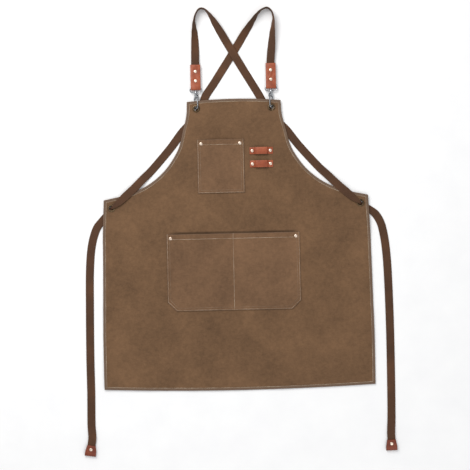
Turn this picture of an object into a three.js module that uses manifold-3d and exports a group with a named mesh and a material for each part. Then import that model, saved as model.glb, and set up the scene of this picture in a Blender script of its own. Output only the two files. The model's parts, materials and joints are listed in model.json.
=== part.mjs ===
// Butcher's cross-back apron, laid out flat on its back: canvas panel and pockets, two webbing straps that
// cross and run through side eyelets to become the waist ties, and a swivel snap hook at each bib corner.
// Millimetres, +Z up. The layout is drawn about the point where the centre line meets the waist line; the
// finished group is then moved so that its origin is the centre of its footprint, on the supporting surface.
import * as THREE from "three";
import { mergeVertices } from "three/addons/utils/BufferGeometryUtils.js";
import Module from "manifold-3d";

const wasm = await Module();
wasm.setup();

// ---- driving dimensions ----
const gap = 0.3; // clearance between touching pieces
const clothThickness = 1.4; // heavy waxed canvas with its hem
const clothBase = 1.3; // the cloth's underside above the table, over the rivet backs

const hemY = -460; // middle of the bottom hem
const hemBow = 8; // the hem's corners sit this much higher than its middle
const hemFade = 132; // height over which the rows straighten above the hem
const bibTopY = 268; // middle of the bib's top edge
const bibCrown = 6; // the bib's corners sit this much lower than its middle
const crownFade = 72; // depth over which the rows straighten below the bib's top
const bibHalfWidth = 117;
const skirtHalfWidth = 339;
const waistTaper = 9; // the waist corners are this much inside the skirt's widest
const waistCornerY = 21;
const panelColumns = 16;

const webWidth = 20;
const webThickness = 1.6;
const webStep = 15; // length of webbing between two sections
const webBase = 0.2; // webbing on the table

const sideEyelet = { x: skirtHalfWidth - 28, y: waistCornerY - 20 };
const bibEyelet = { x: bibHalfWidth - 23, y: bibTopY - 23 };
const eyeletBore = 5.5; // radius
const eyeletWall = 0.7;
const eyeletFlange = eyeletBore + 4; // radius
const flangeThickness = 0.9;
const washerThickness = 0.8;

const liftAtEdge = 0.4; // share of the bib's lift where a strap comes out from under its edge
const bibLift = (webBase + webThickness + 0.2 * gap - clothBase) / liftAtEdge; // the bib lies over the straps
const bibCornerLift = 2.4; // and, at its corners, over the hooks too
const sideLift = 3.1; // the waist corners lie over the ties

const skirtPocket = { x: -9, top: -68, width: 333, height: 192, chamfer: 22, columns: 20, cells: 2 };
const bibPocket = { x: -35.5, top: 167, width: 117, height: 134, chamfer: 2, columns: 12, cells: 1 };
const pocketThickness = 1.2;
const pocketGape = 7; // how far the middle of a pocket's mouth stands off the panel
const pocketRivetInset = 10;

const rivetCap = 4; // radius
const rivetCapHeight = 1.3;
const rivetPost = 1.2; // radius
const rivetBack = 3.2; // radius of the flat back cap
const rivetBackHeight = 0.7;

const loopLength = 58; // leather tool loops on the bib
const loopWidth = 17.5;
const loopLeather = 2;
const loopClear = 5; // height of the space under the arch
const loopFoot = 13;
const loopX = 66;
const loopYs = { upper: 137, lower: 104 };

// The snap hook, swivel eye and tab are placed above the bib eyelet that they hang from.
const tabWidth = webWidth + 5; // leather tab that joins a strap to its snap hook
const tabEndY = bibEyelet.y + 109.5;
const tabFoldY = bibEyelet.y + 46;
const tabLeather = 1.8;
const tabRivetYs = { upper: tabEndY - 17, lower: tabEndY - 40.5 };

const hookRise = 0.06; // the swivel's axis above the middle of the cloth
const hookAxisZ = clothBase + bibLift + bibCornerLift + clothThickness / 2 + hookRise;
const hookWire = 1.6; // radius
const hookHalfWidth = 5.6; // from the hook's axis to the middle of its wire
const hookTilt = THREE.MathUtils.degToRad(-135); // the hook's plane leans 45 degrees through the eyelet
const hookBowY = 5.2; // centre of the hook's bow above the eyelet's, as the next heights are
const hookNoseY = 20.4;
const gatePin = { x: 4.6, y: 30, radius: 1 };
const gateThickness = 2.4;
const springThickness = 0.6;
const forkThickness = 7;
const stemRadius = 1.7;
const eyeBarWidth = 2.8;
const eyePlate = 2.6;
const eyeSide = 2.6; // width of the eye's sides
const eyeHalfWidth = tabWidth / 2 + 0.5 + eyeSide;

const tipLength = 27; // folded leather tip of a waist tie
const tipWidth = { top: webWidth + 1, bottom: webWidth + 8 };
const tipLeather = 1.6;

// ---- materials ----
const material = (color, roughness, metalness) =>
  new THREE.MeshStandardMaterial({ color, roughness, metalness });
const canvas = material(0x7a5f45, 0.9, 0);
const webbing = material(0x54392a, 0.85, 0);
const leather = material(0xa8502f, 0.55, 0);
const nickel = material(0xc9c6c0, 0.25, 1);
const brass = material(0x5d4c38, 0.4, 1);
const steel = material(0x9a9a9a, 0.3, 1);

const apron = new THREE.Group();

// ---- solids ----
function solidOf(geometry) {
  const bare = geometry.clone();
  bare.deleteAttribute("normal");
  bare.deleteAttribute("uv");
  const merged = mergeVertices(bare, 1e-4);
  return new wasm.Manifold(
    new wasm.Mesh({
      numProp: 3,
      vertProperties: new Float32Array(merged.attributes.position.array),
      triVerts: new Uint32Array(merged.index.array),
    }),
  );
}

function geometryOf(solid) {
  const mesh = solid.getMesh();
  const geometry = new THREE.BufferGeometry();
  geometry.setAttribute("position", new THREE.BufferAttribute(mesh.vertProperties, 3));
  geometry.setIndex(new THREE.BufferAttribute(mesh.triVerts, 1));
  return geometry;
}

const cut = (geometry, ...tools) =>
  geometryOf(tools.reduce((left, tool) => left.subtract(solidOf(tool)), solidOf(geometry)));
const join = (geometry, ...others) =>
  geometryOf(others.reduce((whole, other) => whole.add(solidOf(other)), solidOf(geometry)));
const common = (a, b) => geometryOf(solidOf(a).intersect(solidOf(b)));

// The left-hand copy of a right-hand piece, with its faces turned back outwards.
function mirrored(geometry) {
  const copy = mergeVertices(geometry, 1e-4);
  copy.scale(-1, 1, 1);
  const index = copy.index.array;
  for (let i = 0; i < index.length; i += 3) [index[i + 1], index[i + 2]] = [index[i + 2], index[i + 1]];
  return copy;
}

function add(name, geometry, look) {
  const mesh = new THREE.Mesh(geometry, look);
  mesh.name = name;
  apron.add(mesh);
}

// Adds a piece on the right and its mirror image on the left.
function addPair(name, geometry, look) {
  add(`right_${name}`, geometry, look);
  add(`left_${name}`, mirrored(geometry), look);
}

function polygon(points) {
  return new THREE.Shape(points.map(([x, y]) => new THREE.Vector2(x, y)));
}

// An outline in a plane, given thickness evenly both ways.
function plate(shape, thickness, curveSegments = 10) {
  const made = new THREE.ExtrudeGeometry(shape, { depth: thickness, bevelEnabled: false, curveSegments });
  return made.translate(0, 0, -thickness / 2);
}

function rod(radius, from, to, sides = 20) {
  const axis = new THREE.Vector3().subVectors(to, from);
  const made = new THREE.CylinderGeometry(radius, radius, axis.length(), sides);
  const turn = new THREE.Quaternion().setFromUnitVectors(new THREE.Vector3(0, 1, 0), axis.clone().normalize());
  made.applyQuaternion(turn);
  return made.translate(...from.clone().addScaledVector(axis, 0.5).toArray());
}

// A solid turned about the vertical through x, y. The profile is [radius, height] pairs.
function turned(profile, x, y, segments = 20) {
  const made = new THREE.LatheGeometry(profile.map(([r, z]) => new THREE.Vector2(r, z)), segments);
  return made.rotateX(Math.PI / 2).translate(x, y, 0);
}

const at = (x, y, z) => new THREE.Vector3(x, y, z);
const drill = (radius, x, y) => rod(radius, at(x, y, -50), at(x, y, 80));

// ---- how the cloth lies ----
const smooth = (from, to, value) => THREE.MathUtils.smoothstep(value, from, to);

// Outlines and webbing are drawn for the standard apron. This gives a scale that lands each drawn mark on the
// mark of the size that is set, in even steps between them and unchanged beyond them.
function landing(drawn, wanted) {
  return (value) => {
    if (value <= drawn[0]) return wanted[0] + value - drawn[0];
    for (let i = 1; i < drawn.length; i++)
      if (value <= drawn[i])
        return THREE.MathUtils.mapLinear(value, drawn[i - 1], drawn[i], wanted[i - 1], wanted[i]);
    return wanted.at(-1) + value - drawn.at(-1);
  };
}
const hemCornerY = hemY + hemBow;
const bibCornerY = bibTopY - bibCrown;
const waistX = skirtHalfWidth - waistTaper;
const armholeX = landing([117, 330], [bibHalfWidth, waistX]);
const armholeY = landing([21, 262], [waistCornerY, bibCornerY]);

// Height of the cloth's underside: the skirt is flat, and the bib and four corners lie over what is under them.
function underside(x, y) {
  const overHook = 1 - smooth(22, 70, Math.hypot(Math.abs(x) - bibEyelet.x, y - bibEyelet.y));
  const overTie = 1 - smooth(46, 105, Math.hypot(Math.abs(x) - sideEyelet.x, y - sideEyelet.y));
  return clothBase + bibLift * smooth(armholeY(140), armholeY(205), y) + bibCornerLift * overHook + sideLift * overTie;
}

// A closed sheet with thickness. rows is the list of rows, each a list of [x, y]; floorAt gives its underside.
function sheet(rows, thickness, floorAt) {
  const across = rows[0].length;
  const positions = [];
  for (const layer of [0, thickness])
    for (const row of rows) for (const [x, y] of row) positions.push(x, y, floorAt(x, y) + layer);
  const top = rows.length * across;
  const index = [];
  const quad = (a, b, c, d) => index.push(a, b, c, a, c, d);
  for (let r = 0; r < rows.length - 1; r++)
    for (let c = 0; c < across - 1; c++) {
      const a = r * across + c;
      quad(a, a + across, a + across + 1, a + 1);
      quad(top + a, top + a + 1, top + a + across + 1, top + a + across);
    }
  const wall = (a, b) => quad(a, b, b + top, a + top);
  for (let c = 0; c < across - 1; c++) {
    wall(c, c + 1);
    wall(top - 1 - c, top - 2 - c);
  }
  for (let r = 0; r < rows.length - 1; r++) {
    wall((r + 1) * across, r * across);
    wall((r + 1) * across - 1, (r + 2) * across - 1);
  }
  const made = new THREE.BufferGeometry();
  made.setAttribute("position", new THREE.Float32BufferAttribute(positions, 3));
  made.setIndex(index);
  return made;
}

// ---- the panel ----
// Half-width of the panel from the hem up to the bib: the skirt's side, the waist corner and the armhole curve.
// Each row of the skirt's side is how far inside the skirt's widest it is.
const skirtY = landing([-452, 0], [hemCornerY, 0]);
const sideOutline = [
  [-452, 0.5], [-420, 0], [-380, 0], [-320, 0], [-250, 1.5], [-170, 3], [-120, 4], [-80, 4.5], [-45, 6],
  [-20, 7], [0, 8],
].map(([y, inside]) => [skirtY(y), skirtHalfWidth - inside]);
const armhole = new THREE.CatmullRomCurve3(
  [[330, 21], [262, 37], [214, 60], [178, 90], [155, 120], [139, 150], [128, 192], [119, 228], [117, 262]].map(
    ([x, y]) => at(armholeX(x), armholeY(y), 0),
  ),
);
const armholeRows = 20;

const panelOutline = [
  ...sideOutline,
  [waistCornerY, waistX],
  ...armhole.getPoints(armholeRows).slice(1).map((p) => [p.y, p.x]),
];
const panelRows = panelOutline.map(([y, half]) =>
  Array.from({ length: panelColumns + 1 }, (_, c) => {
    const s = (2 * c) / panelColumns - 1;
    const sag = hemBow * (1 - smooth(hemCornerY, hemCornerY + hemFade, y));
    const crown = bibCrown * smooth(bibCornerY - crownFade, bibCornerY, y);
    return [s * half, y - (sag - crown) * (1 - s * s)];
  }),
);
let panel = sheet(panelRows, clothThickness, underside);

// ---- pockets ----
const panelTop = (x, y) => underside(x, y) + clothThickness;

function pocketRows({ x, top, width, height, chamfer, columns }) {
  const half = width / 2;
  const levels = [0, chamfer, height * 0.3, height * 0.45, height * 0.6, height * 0.75, height * 0.88, height];
  return levels.map((level) => {
    const reach = half - Math.max(0, chamfer - level);
    return Array.from({ length: columns + 1 }, (_, c) => [
      x + reach * ((2 * c) / columns - 1),
      top - height + level,
    ]);
  });
}

// The pocket lies on the panel and its mouth stands a little open between its lines of stitching.
function pocketFloor({ x, top, width, height, cells }) {
  return (px, py) => {
    const across = ((px - x + width / 2) / width) * cells;
    const up = THREE.MathUtils.clamp(1 - (top - py) / height, 0, 1);
    const gape = pocketGape * Math.sin(Math.PI * across) ** 4 * up ** 3;
    return panelTop(px, py) + gap + gape;
  };
}

function pocketRivets({ x, top, width }) {
  const reach = width / 2 - pocketRivetInset;
  return [-reach, reach].map((offset) => [x + offset, top - pocketRivetInset]);
}

// A tubular rivet: domed cap above, post, and flat cap below the lowest layer.
function rivet(x, y, under, over) {
  const low = under - gap;
  const high = over + gap;
  return turned(
    [
      [0, low - rivetBackHeight], [rivetBack, low - rivetBackHeight], [rivetBack, low], [rivetPost, low],
      [rivetPost, high], [rivetCap, high], [rivetCap, high + rivetCapHeight * 0.35],
      [rivetCap * 0.72, high + rivetCapHeight * 0.85], [0, high + rivetCapHeight],
    ],
    x,
    y,
    12,
  );
}

const rivetHole = (x, y) => drill(rivetPost + gap, x, y);

for (const [name, pocket] of Object.entries({ bib_pocket: bibPocket, skirt_pocket: skirtPocket })) {
  const spots = pocketRivets(pocket);
  const holes = spots.map(([x, y]) => rivetHole(x, y));
  const floor = pocketFloor(pocket);
  add(name, cut(sheet(pocketRows(pocket), pocketThickness, floor), ...holes), canvas);
  panel = cut(panel, ...holes);
  spots.forEach(([x, y], i) => {
    const over = floor(x, y) + pocketThickness;
    add(`${name}_rivet_${i ? "right" : "left"}`, rivet(x, y, underside(x, y), over), nickel);
  });
}

// ---- leather tool loops ----
for (const [name, y] of Object.entries(loopYs)) {
  const seat = panelTop(loopX, y) + gap;
  const half = loopLength / 2;
  const flat = half - loopFoot;
  const rise = loopClear - gap;
  const profile = polygon([
    [-half, 0], [-flat, 0], [-flat + 3, rise], [flat - 3, rise], [flat, 0], [half, 0], [half, loopLeather],
    [flat + 1.5, loopLeather], [flat - 1.5, rise + loopLeather], [1.5 - flat, rise + loopLeather],
    [-flat - 1.5, loopLeather], [-half, loopLeather],
  ]);
  const strip = plate(profile, loopWidth).rotateX(Math.PI / 2).translate(loopX, y, seat);
  const feet = [loopX - half + loopFoot / 2, loopX + half - loopFoot / 2];
  const holes = feet.map((x) => rivetHole(x, y));
  add(`${name}_tool_loop`, cut(strip, ...holes), leather);
  panel = cut(panel, ...holes);
  feet.forEach((x, i) => {
    add(`${name}_loop_rivet_${i ? "right" : "left"}`, rivet(x, y, underside(x, y), seat + loopLeather), nickel);
  });
}

// ---- eyelets: a flanged barrel from the front and a washer on the back ----
for (const [name, { x, y }] of Object.entries({ side: sideEyelet, bib: bibEyelet })) {
  const barrel = eyeletBore + eyeletWall;
  const under = underside(x, y);
  const seat = under + clothThickness + gap;
  const foot = under - gap - washerThickness;
  const eyelet = turned(
    [
      [eyeletBore, foot], [barrel, foot], [barrel, seat], [eyeletFlange, seat],
      [eyeletFlange, seat + flangeThickness * 0.5], [eyeletFlange - 1.2, seat + flangeThickness],
      [eyeletBore + 1, seat + flangeThickness], [eyeletBore, seat + flangeThickness * 0.5], [eyeletBore, foot],
    ],
    x,
    y,
  );
  const washer = turned(
    [
      [barrel + gap, foot], [eyeletFlange, foot], [eyeletFlange, foot + washerThickness],
      [barrel + gap, foot + washerThickness], [barrel + gap, foot],
    ],
    x,
    y,
  );
  addPair(`${name}_eyelet`, eyelet, brass);
  addPair(`${name}_washer`, washer, brass);
  panel = cut(panel, drill(barrel + gap, x, y), drill(barrel + gap, -x, y));
}
add("apron_panel", panel, canvas);

const pinRod = (radius, reach) =>
  rod(radius, at(gatePin.x, gatePin.y, -reach), at(gatePin.x, gatePin.y, reach));

// ---- snap hooks, drawn flat about the eyelet in x (across) and y (along), then leaned through it ----
const leanHook = (geometry) => geometry.rotateY(hookTilt).translate(bibEyelet.x, bibEyelet.y, hookAxisZ);

function hookGeometry() {
  const reach = hookHalfWidth;
  const bow = (angle) => at(-reach * Math.cos(angle), hookBowY - reach * Math.sin(angle), 0);
  const points = [
    at(-2.4, 32, 0), at(-4.6, 28, 0), at(-reach, 22, 0), at(-reach, 16, 0), at(-reach, 10, 0),
    ...[0, 0.25, 0.5, 0.75, 1].map((share) => bow(share * Math.PI)),
    at(reach, 10.5, 0), at(reach, 15.5, 0), at(reach, hookNoseY, 0),
  ];
  const path = new THREE.CatmullRomCurve3(points, false, "centripetal");
  const section = new THREE.Shape().absarc(0, 0, hookWire, 0, 2 * Math.PI);
  const wire = new THREE.ExtrudeGeometry(section, { steps: 26, curveSegments: 4, extrudePath: path });
  const base = plate(
    polygon([
      [-3.4, 26.6], [-1.8, 26], [2, 28.2], [6.6, 27.2], [7.4, 29.6], [6.2, 32.6], [3, 35], [-3, 35], [-3.6, 32],
    ]),
    forkThickness,
  );
  const slotDepth = { low: -gateThickness / 2 - gap, high: gateThickness / 2 + 3 * gap + springThickness };
  const slot = new THREE.BoxGeometry(9, 9, slotDepth.high - slotDepth.low);
  slot.translate(6.2, 29.6, (slotDepth.high + slotDepth.low) / 2);
  const body = cut(join(wire, base), slot, pinRod(gatePin.radius + gap, 9));
  const stem = rod(stemRadius, at(0, 34, 0), at(0, 45, 0));
  const head = rod(stemRadius + 1.2, at(0, eyeWindow.bottom + 0.7, 0), at(0, eyeWindow.bottom + 2.7, 0));
  return join(body, stem, head);
}

function gateGeometry() {
  const lever = plate(
    polygon([
      [3.1, 30.6], [3.2, 27.2], [4.2, 23], [4.2, hookNoseY + gap], [6.9, hookNoseY + gap],
      [7.2, 24], [8.6, 27.4], [9.6, 30.2], [8.6, 31.4], [6.6, 31.2], [4.6, 31.9],
    ]),
    gateThickness,
  );
  return cut(lever, pinRod(gatePin.radius + gap, 9));
}

const eyeTopY = 52;
const eyeFootY = 38.6;
const eyeWindow = { top: eyeTopY - eyeBarWidth, bottom: 42.4 };

addPair("snap_hook", leanHook(hookGeometry()), nickel);
addPair("hook_gate", leanHook(gateGeometry()), nickel);
addPair("gate_pin", leanHook(pinRod(gatePin.radius, forkThickness / 2 - 0.1)), nickel);

// The gate's spring, a flat coil on the pin beside the gate.
const coil = { inner: gatePin.radius + gap, outer: gatePin.radius + gap + 0.8 };
const coilPlane = gateThickness / 2 + gap + springThickness / 2;
const coilRing = cut(
  rod(coil.outer, at(0, 0, -springThickness / 2), at(0, 0, springThickness / 2)),
  rod(coil.inner, at(0, 0, -springThickness), at(0, 0, springThickness)),
);
addPair("gate_spring", leanHook(coilRing.translate(gatePin.x, gatePin.y, coilPlane)), steel);

// ---- swivel eye: a D with a bored boss that the hook's stem turns in ----
function eyeGeometry() {
  const outer = new THREE.Shape();
  outer.moveTo(-eyeHalfWidth, eyeTopY).lineTo(-eyeHalfWidth, eyeFootY + 6.4);
  outer.quadraticCurveTo(-eyeHalfWidth, eyeFootY + 1, -7, eyeFootY).lineTo(7, eyeFootY);
  outer.quadraticCurveTo(eyeHalfWidth, eyeFootY + 1, eyeHalfWidth, eyeFootY + 6.4).lineTo(eyeHalfWidth, eyeTopY);
  const inner = eyeHalfWidth - eyeSide;
  const low = eyeWindow.bottom;
  const window = new THREE.Path();
  window.moveTo(-inner, eyeWindow.top).lineTo(-inner, low + 3.2).quadraticCurveTo(-inner, low + 0.2, -7.5, low);
  window.lineTo(7.5, low).quadraticCurveTo(inner, low + 0.2, inner, low + 3.2).lineTo(inner, eyeWindow.top);
  outer.holes.push(window);
  const boss = rod(stemRadius + 2, at(0, eyeFootY - 3.2, 0), at(0, low, 0));
  const bore = rod(stemRadius + gap, at(0, eyeFootY - 14, 0), at(0, low + 5, 0));
  return cut(join(plate(outer, eyePlate, 6), boss), bore).translate(bibEyelet.x, bibEyelet.y, hookAxisZ);
}
addPair("swivel_eye", eyeGeometry(), nickel);

// ---- strap tabs: one piece of leather folded round the eye's bar and riveted through the webbing ----
const tabRivetSpots = Object.entries(tabRivetYs);

function foldedLeather(endY, foldY, innerBar, innerWeb, thickness) {
  const bar = innerBar + thickness;
  const web = innerWeb + thickness;
  const shape = new THREE.Shape();
  shape.moveTo(endY, web).lineTo(foldY + 11, web).lineTo(foldY + 8, bar).lineTo(foldY + bar, bar);
  shape.absarc(foldY + bar, 0, bar, Math.PI / 2, (3 * Math.PI) / 2, false);
  shape.lineTo(foldY + 8, -bar).lineTo(foldY + 11, -web).lineTo(endY, -web).lineTo(endY, -innerWeb);
  shape.lineTo(foldY + 12, -innerWeb).lineTo(foldY + 8, -innerBar).lineTo(foldY + bar, -innerBar);
  shape.absarc(foldY + bar, 0, innerBar, (3 * Math.PI) / 2, Math.PI / 2, true);
  shape.lineTo(foldY + 8, innerBar).lineTo(foldY + 12, innerWeb).lineTo(endY, innerWeb);
  return shape;
}

// Turns a side profile drawn in (y, z) into a solid of the given width across x.
function acrossX(shape, width) {
  return plate(shape, width).rotateY(Math.PI / 2).rotateX(Math.PI / 2);
}

const tabHoles = tabRivetSpots.map(([, y]) => rivetHole(bibEyelet.x, y));
const tabInner = { bar: eyePlate / 2 + gap, web: webThickness / 2 + gap };
const tab = acrossX(foldedLeather(tabEndY, tabFoldY, tabInner.bar, tabInner.web, tabLeather), tabWidth);
addPair("strap_tab", cut(tab.translate(bibEyelet.x, 0, hookAxisZ), ...tabHoles), leather);

const strapEndLength = tabEndY - 2 * gap - (tabFoldY + 12.6);
const strapEnd = new THREE.BoxGeometry(webWidth, strapEndLength, webThickness);
strapEnd.translate(bibEyelet.x, tabEndY - 2 * gap - strapEndLength / 2, hookAxisZ);
addPair("strap_end", cut(strapEnd, ...tabHoles), webbing);

const tabSkin = tabInner.web + tabLeather;
for (const [name, y] of tabRivetSpots)
  addPair(`tab_rivet_${name}`, rivet(bibEyelet.x, y, hookAxisZ - tabSkin, hookAxisZ + tabSkin), nickel);

// ---- webbing ----
// A strip through hand-placed stations [x, y, height, tilt, width, thickness]: height is that of its lower
// edge, and tilt turns it from flat (0) to standing on edge (90 degrees) with the edge named by side up.
function webbingStrip(stations, side) {
  const curve = new THREE.CatmullRomCurve3(stations.map(([x, y, z]) => at(x, y, z)), false, "centripetal");
  const values = (i) => {
    const [, , , tilt, width = webWidth, thickness = webThickness] = stations[i];
    return [tilt, width, thickness];
  };
  const rings = [];
  let across = at(0, 0, 0);
  for (let i = 0; i < stations.length - 1; i++) {
    const steps = Math.max(2, Math.round(curve.points[i].distanceTo(curve.points[i + 1]) / webStep));
    const last = i === stations.length - 2;
    for (let k = 0; k < steps + (last ? 1 : 0); k++) {
      const share = k / steps;
      const u = (i + share) / (stations.length - 1);
      const ease = share * share * (3 - 2 * share);
      const [tilt, width, thickness] = values(i).map((value, n) => value + (values(i + 1)[n] - value) * ease);
      const heading = curve.getTangent(u);
      const level = new THREE.Vector3().crossVectors(heading, at(0, 0, 1)).multiplyScalar(side);
      if (level.length() > 0.35) across = level.normalize();
      const lean = THREE.MathUtils.degToRad(tilt);
      const wide = across.clone().applyAxisAngle(heading, side * lean);
      const thick = new THREE.Vector3().crossVectors(heading, wide).normalize();
      const centre = curve.getPoint(u);
      centre.z += (width / 2) * Math.sin(lean) + (thickness / 2) * Math.cos(lean);
      const corner = (a, b) =>
        centre.clone().addScaledVector(wide, (a * width) / 2).addScaledVector(thick, (b * thickness) / 2);
      rings.push([corner(-1, -1), corner(1, -1), corner(1, 1), corner(-1, 1)]);
    }
  }
  const positions = rings.flat().flatMap((p) => p.toArray());
  const index = [];
  const quad = (a, b, c, d) => index.push(a, b, c, a, c, d);
  for (let r = 0; r < rings.length - 1; r++)
    for (let k = 0; k < 4; k++) quad(4 * r + k, 4 * r + ((k + 1) % 4), 4 * r + 4 + ((k + 1) % 4), 4 * r + 4 + k);
  const end = 4 * (rings.length - 1);
  quad(3, 2, 1, 0);
  quad(end, end + 1, end + 2, end + 3);
  const made = new THREE.BufferGeometry();
  made.setAttribute("position", new THREE.Float32BufferAttribute(positions, 3));
  made.setIndex(index);
  return made;
}

const tabWebBase = hookAxisZ - webThickness / 2;
const overLower = webBase + webThickness + 1.4; // the left strap passes over the right one where they cross
const overWaist = clothBase + sideLift + clothThickness; // top of the cloth beside a side eyelet

// The stations are drawn for the standard places of the eyelets, and follow the eyelets.
const routeX = landing([0, 94, 311], [0, bibEyelet.x, sideEyelet.x]);
const routeY = landing([1, 245], [sideEyelet.y, bibEyelet.y]);
const follow = ([x, y, ...rest]) => [Math.sign(x) * routeX(Math.abs(x)), routeY(y), ...rest];

const leftShoulder = [
  [-94, 355.5, tabWebBase, 0], [-93.7, 380, 3, 6], [-93.3, 407, 1, 22], [-93.6, 432, webBase, 42],
  [-94.3, 452, webBase, 64], [-93.5, 468, webBase, 82], [-88.8, 483.5, webBase, 90],
  [-80.5, 493.5, webBase, 90], [-70.5, 493.5, webBase, 90], [-61, 485.5, webBase, 82],
  [-52.8, 474, webBase, 66], [-41.8, 456.1, webBase, 42], [-29.5, 435.8, 0.6, 22], [-17.9, 415.6, 1.8, 6],
  [-7, 396.5, overLower, 0], [1.3, 382, overLower, 0], [11, 365, overLower, 0], [26.3, 339, 1, 0],
  [43, 311, webBase, 0], [63.6, 276, webBase, 0], [72, 260, webBase, 0], [81, 245, webBase, 0],
  [93, 228, webBase, 0], [110, 208, webBase, 0],
];
const rightShoulder = [
  [94, 355.5, tabWebBase, 0], [95.8, 378, 3, 8], [98.1, 403, 1, 28], [99.9, 428, webBase, 48],
  [102.4, 452, webBase, 68], [103.2, 470, webBase, 84], [98.2, 485.5, webBase, 90],
  [88.2, 492.5, webBase, 90], [77, 489.5, webBase, 90], [65.6, 480, webBase, 80],
  [55, 465.4, webBase, 62], [41.8, 446.2, webBase, 42], [28.4, 427, webBase, 22], [14.7, 405, webBase, 6],
  [1.2, 383.8, webBase, 0], [-14, 360, webBase, 0], [-29.9, 335.8, webBase, 0], [-49.4, 306.2, webBase, 0],
  [-70, 276, webBase, 0], [-76, 261, webBase, 0], [-82.5, 245, webBase, 0], [-93, 228, webBase, 0],
  [-110, 208, webBase, 0],
];
// From behind the bib, along the armhole, over the panel's edge and down into the side eyelet.
const armholeRun = [
  [129, 189, webBase, 0], [158, 151, webBase, 0], [190, 114, webBase, 0], [212, 90, 0.6, 0],
  [231, 72, 3, 0], [251, 52, overWaist - 0.6, 0], [273, 32, overWaist + 0.6, 0],
  [290, 17, overWaist + 1.1, 0, 18, 1.9], [300, 8.6, overWaist + 1.7, 0, 12, 2.8],
  [306.6, 4, overWaist + 1.7, 0, 8, 3], [310.4, 1.4, overWaist - 1, 0, 7, 3], [311, 1, 1.9, 0, 7, 3],
];
const toLeft = armholeRun.map(([x, ...rest]) => [-x, ...rest]);
add("left_strap", webbingStrip([...leftShoulder, ...armholeRun].map(follow), 1), webbing);
add("right_strap", webbingStrip([...rightShoulder, ...toLeft].map(follow), -1), webbing);

// ---- waist ties, from under each side eyelet to the leather tip ----
const tieBase = webBase + 0.1;
const tipFloor = webBase + rivetBackHeight + gap; // underside of the tip's lower leather
const tipWeb = tipFloor + tipLeather + gap; // underside of the webbing inside it
const tieStart = (side) => [
  [side * 308.6, 3.2, tieBase, 0, 8, 2.2], [side * 313.6, -3.4, tieBase, 0, 11, 2.2],
];
const ties = {
  left: {
    side: 1,
    lean: -8,
    end: [-374.4, -590],
    stations: [
      ...tieStart(-1), [-323, -14, tieBase, 0, 15, 1.9], [-335, -29, tieBase, 0, 18], [-348, -46, webBase, 0],
      [-357.5, -70, webBase, 0], [-364, -100, webBase, 0], [-368.5, -150, webBase, 0],
      [-371, -250, webBase, 0], [-372.6, -374, webBase, 0], [-372.4, -464, webBase, 0], [-373.4, -540, 0.8, 0],
    ],
  },
  right: {
    side: -1,
    lean: 1,
    end: [375, -592],
    stations: [
      ...tieStart(1), [321.5, -8, tieBase, 0, 15, 1.9], [335, -16.5, tieBase, 0, 18], [349, -29, webBase, 0],
      [360.5, -50, webBase, 0], [368.5, -85, webBase, 0], [373.5, -132, webBase, 0], [376, -190, webBase, 0],
      [378, -300, webBase, 0], [378, -421, webBase, 0], [376.5, -541, 0.8, 0],
    ],
  },
};
const tipInside = 17; // length of webbing inside the tip

for (const [name, { side, lean, end, stations }] of Object.entries(ties)) {
  const turn = THREE.MathUtils.degToRad(lean);
  const [endX, endY] = follow(end);
  const along = (distance) => [endX + distance * Math.sin(turn), endY - distance * Math.cos(turn)];
  const mouth = along(0);
  const last = along(tipInside);
  const rivetAt = along(10);
  const route = [...stations.map(follow), [...along(-18), tipWeb - 0.2, 0], [...mouth, tipWeb, 0], [...last, tipWeb, 0]];
  add(`${name}_tie`, cut(webbingStrip(route, side), rivetHole(...rivetAt)), webbing);

  const inner = webThickness / 2 + gap;
  const profile = foldedLeather(tipLength, 0, inner, inner, tipLeather);
  const fold = acrossX(profile, tipWidth.bottom + 2);
  const outline = plate(
    polygon([
      [-tipWidth.bottom / 2, 0], [tipWidth.bottom / 2, 0], [tipWidth.bottom / 2 - 0.4, tipLength * 0.45],
      [tipWidth.top / 2, tipLength], [-tipWidth.top / 2, tipLength], [0.4 - tipWidth.bottom / 2, tipLength * 0.45],
    ]),
    40,
  );
  const centreZ = tipWeb + webThickness / 2;
  const foot = along(tipLength);
  const tip = common(fold, outline).rotateZ(turn).translate(foot[0], foot[1], centreZ);
  add(`${name}_tie_tip`, cut(tip, rivetHole(...rivetAt)), leather);
  const skin = inner + tipLeather;
  add(`${name}_tip_rivet`, rivet(...rivetAt, centreZ - skin, centreZ + skin), nickel);
}

// ---- origin: centre of the footprint, on the supporting surface ----
const bounds = new THREE.Box3().setFromObject(apron, true);
const footprint = bounds.getCenter(at(0, 0, 0));
apron.position.set(-footprint.x, -footprint.y, -bounds.min.z);

export default apron;
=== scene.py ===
# %% [markdown]
# # A butcher's cross-back apron, laid out flat
#
# A waxed canvas panel with a bib, a small bib pocket and a wide double pocket, two leather tool loops, and two
# brown webbing straps that cross behind the neck. Each strap starts in a leather tab on a snap hook, passes
# behind the bib and along the armhole, dives through a side eyelet and ends as a waist tie with a leather tip.
#
# The solid model that this look is built around is loaded first. Every length below is written in millimetres,
# as a maker would, about the point where the centre line meets the waist, and turned into metres in one place.

# %% Load the frame
import json
import math

import bmesh
import bpy
import numpy as np
from mathutils import Matrix, Vector, noise
from mathutils.geometry import delaunay_2d_cdt
from mathutils.kdtree import KDTree

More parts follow.
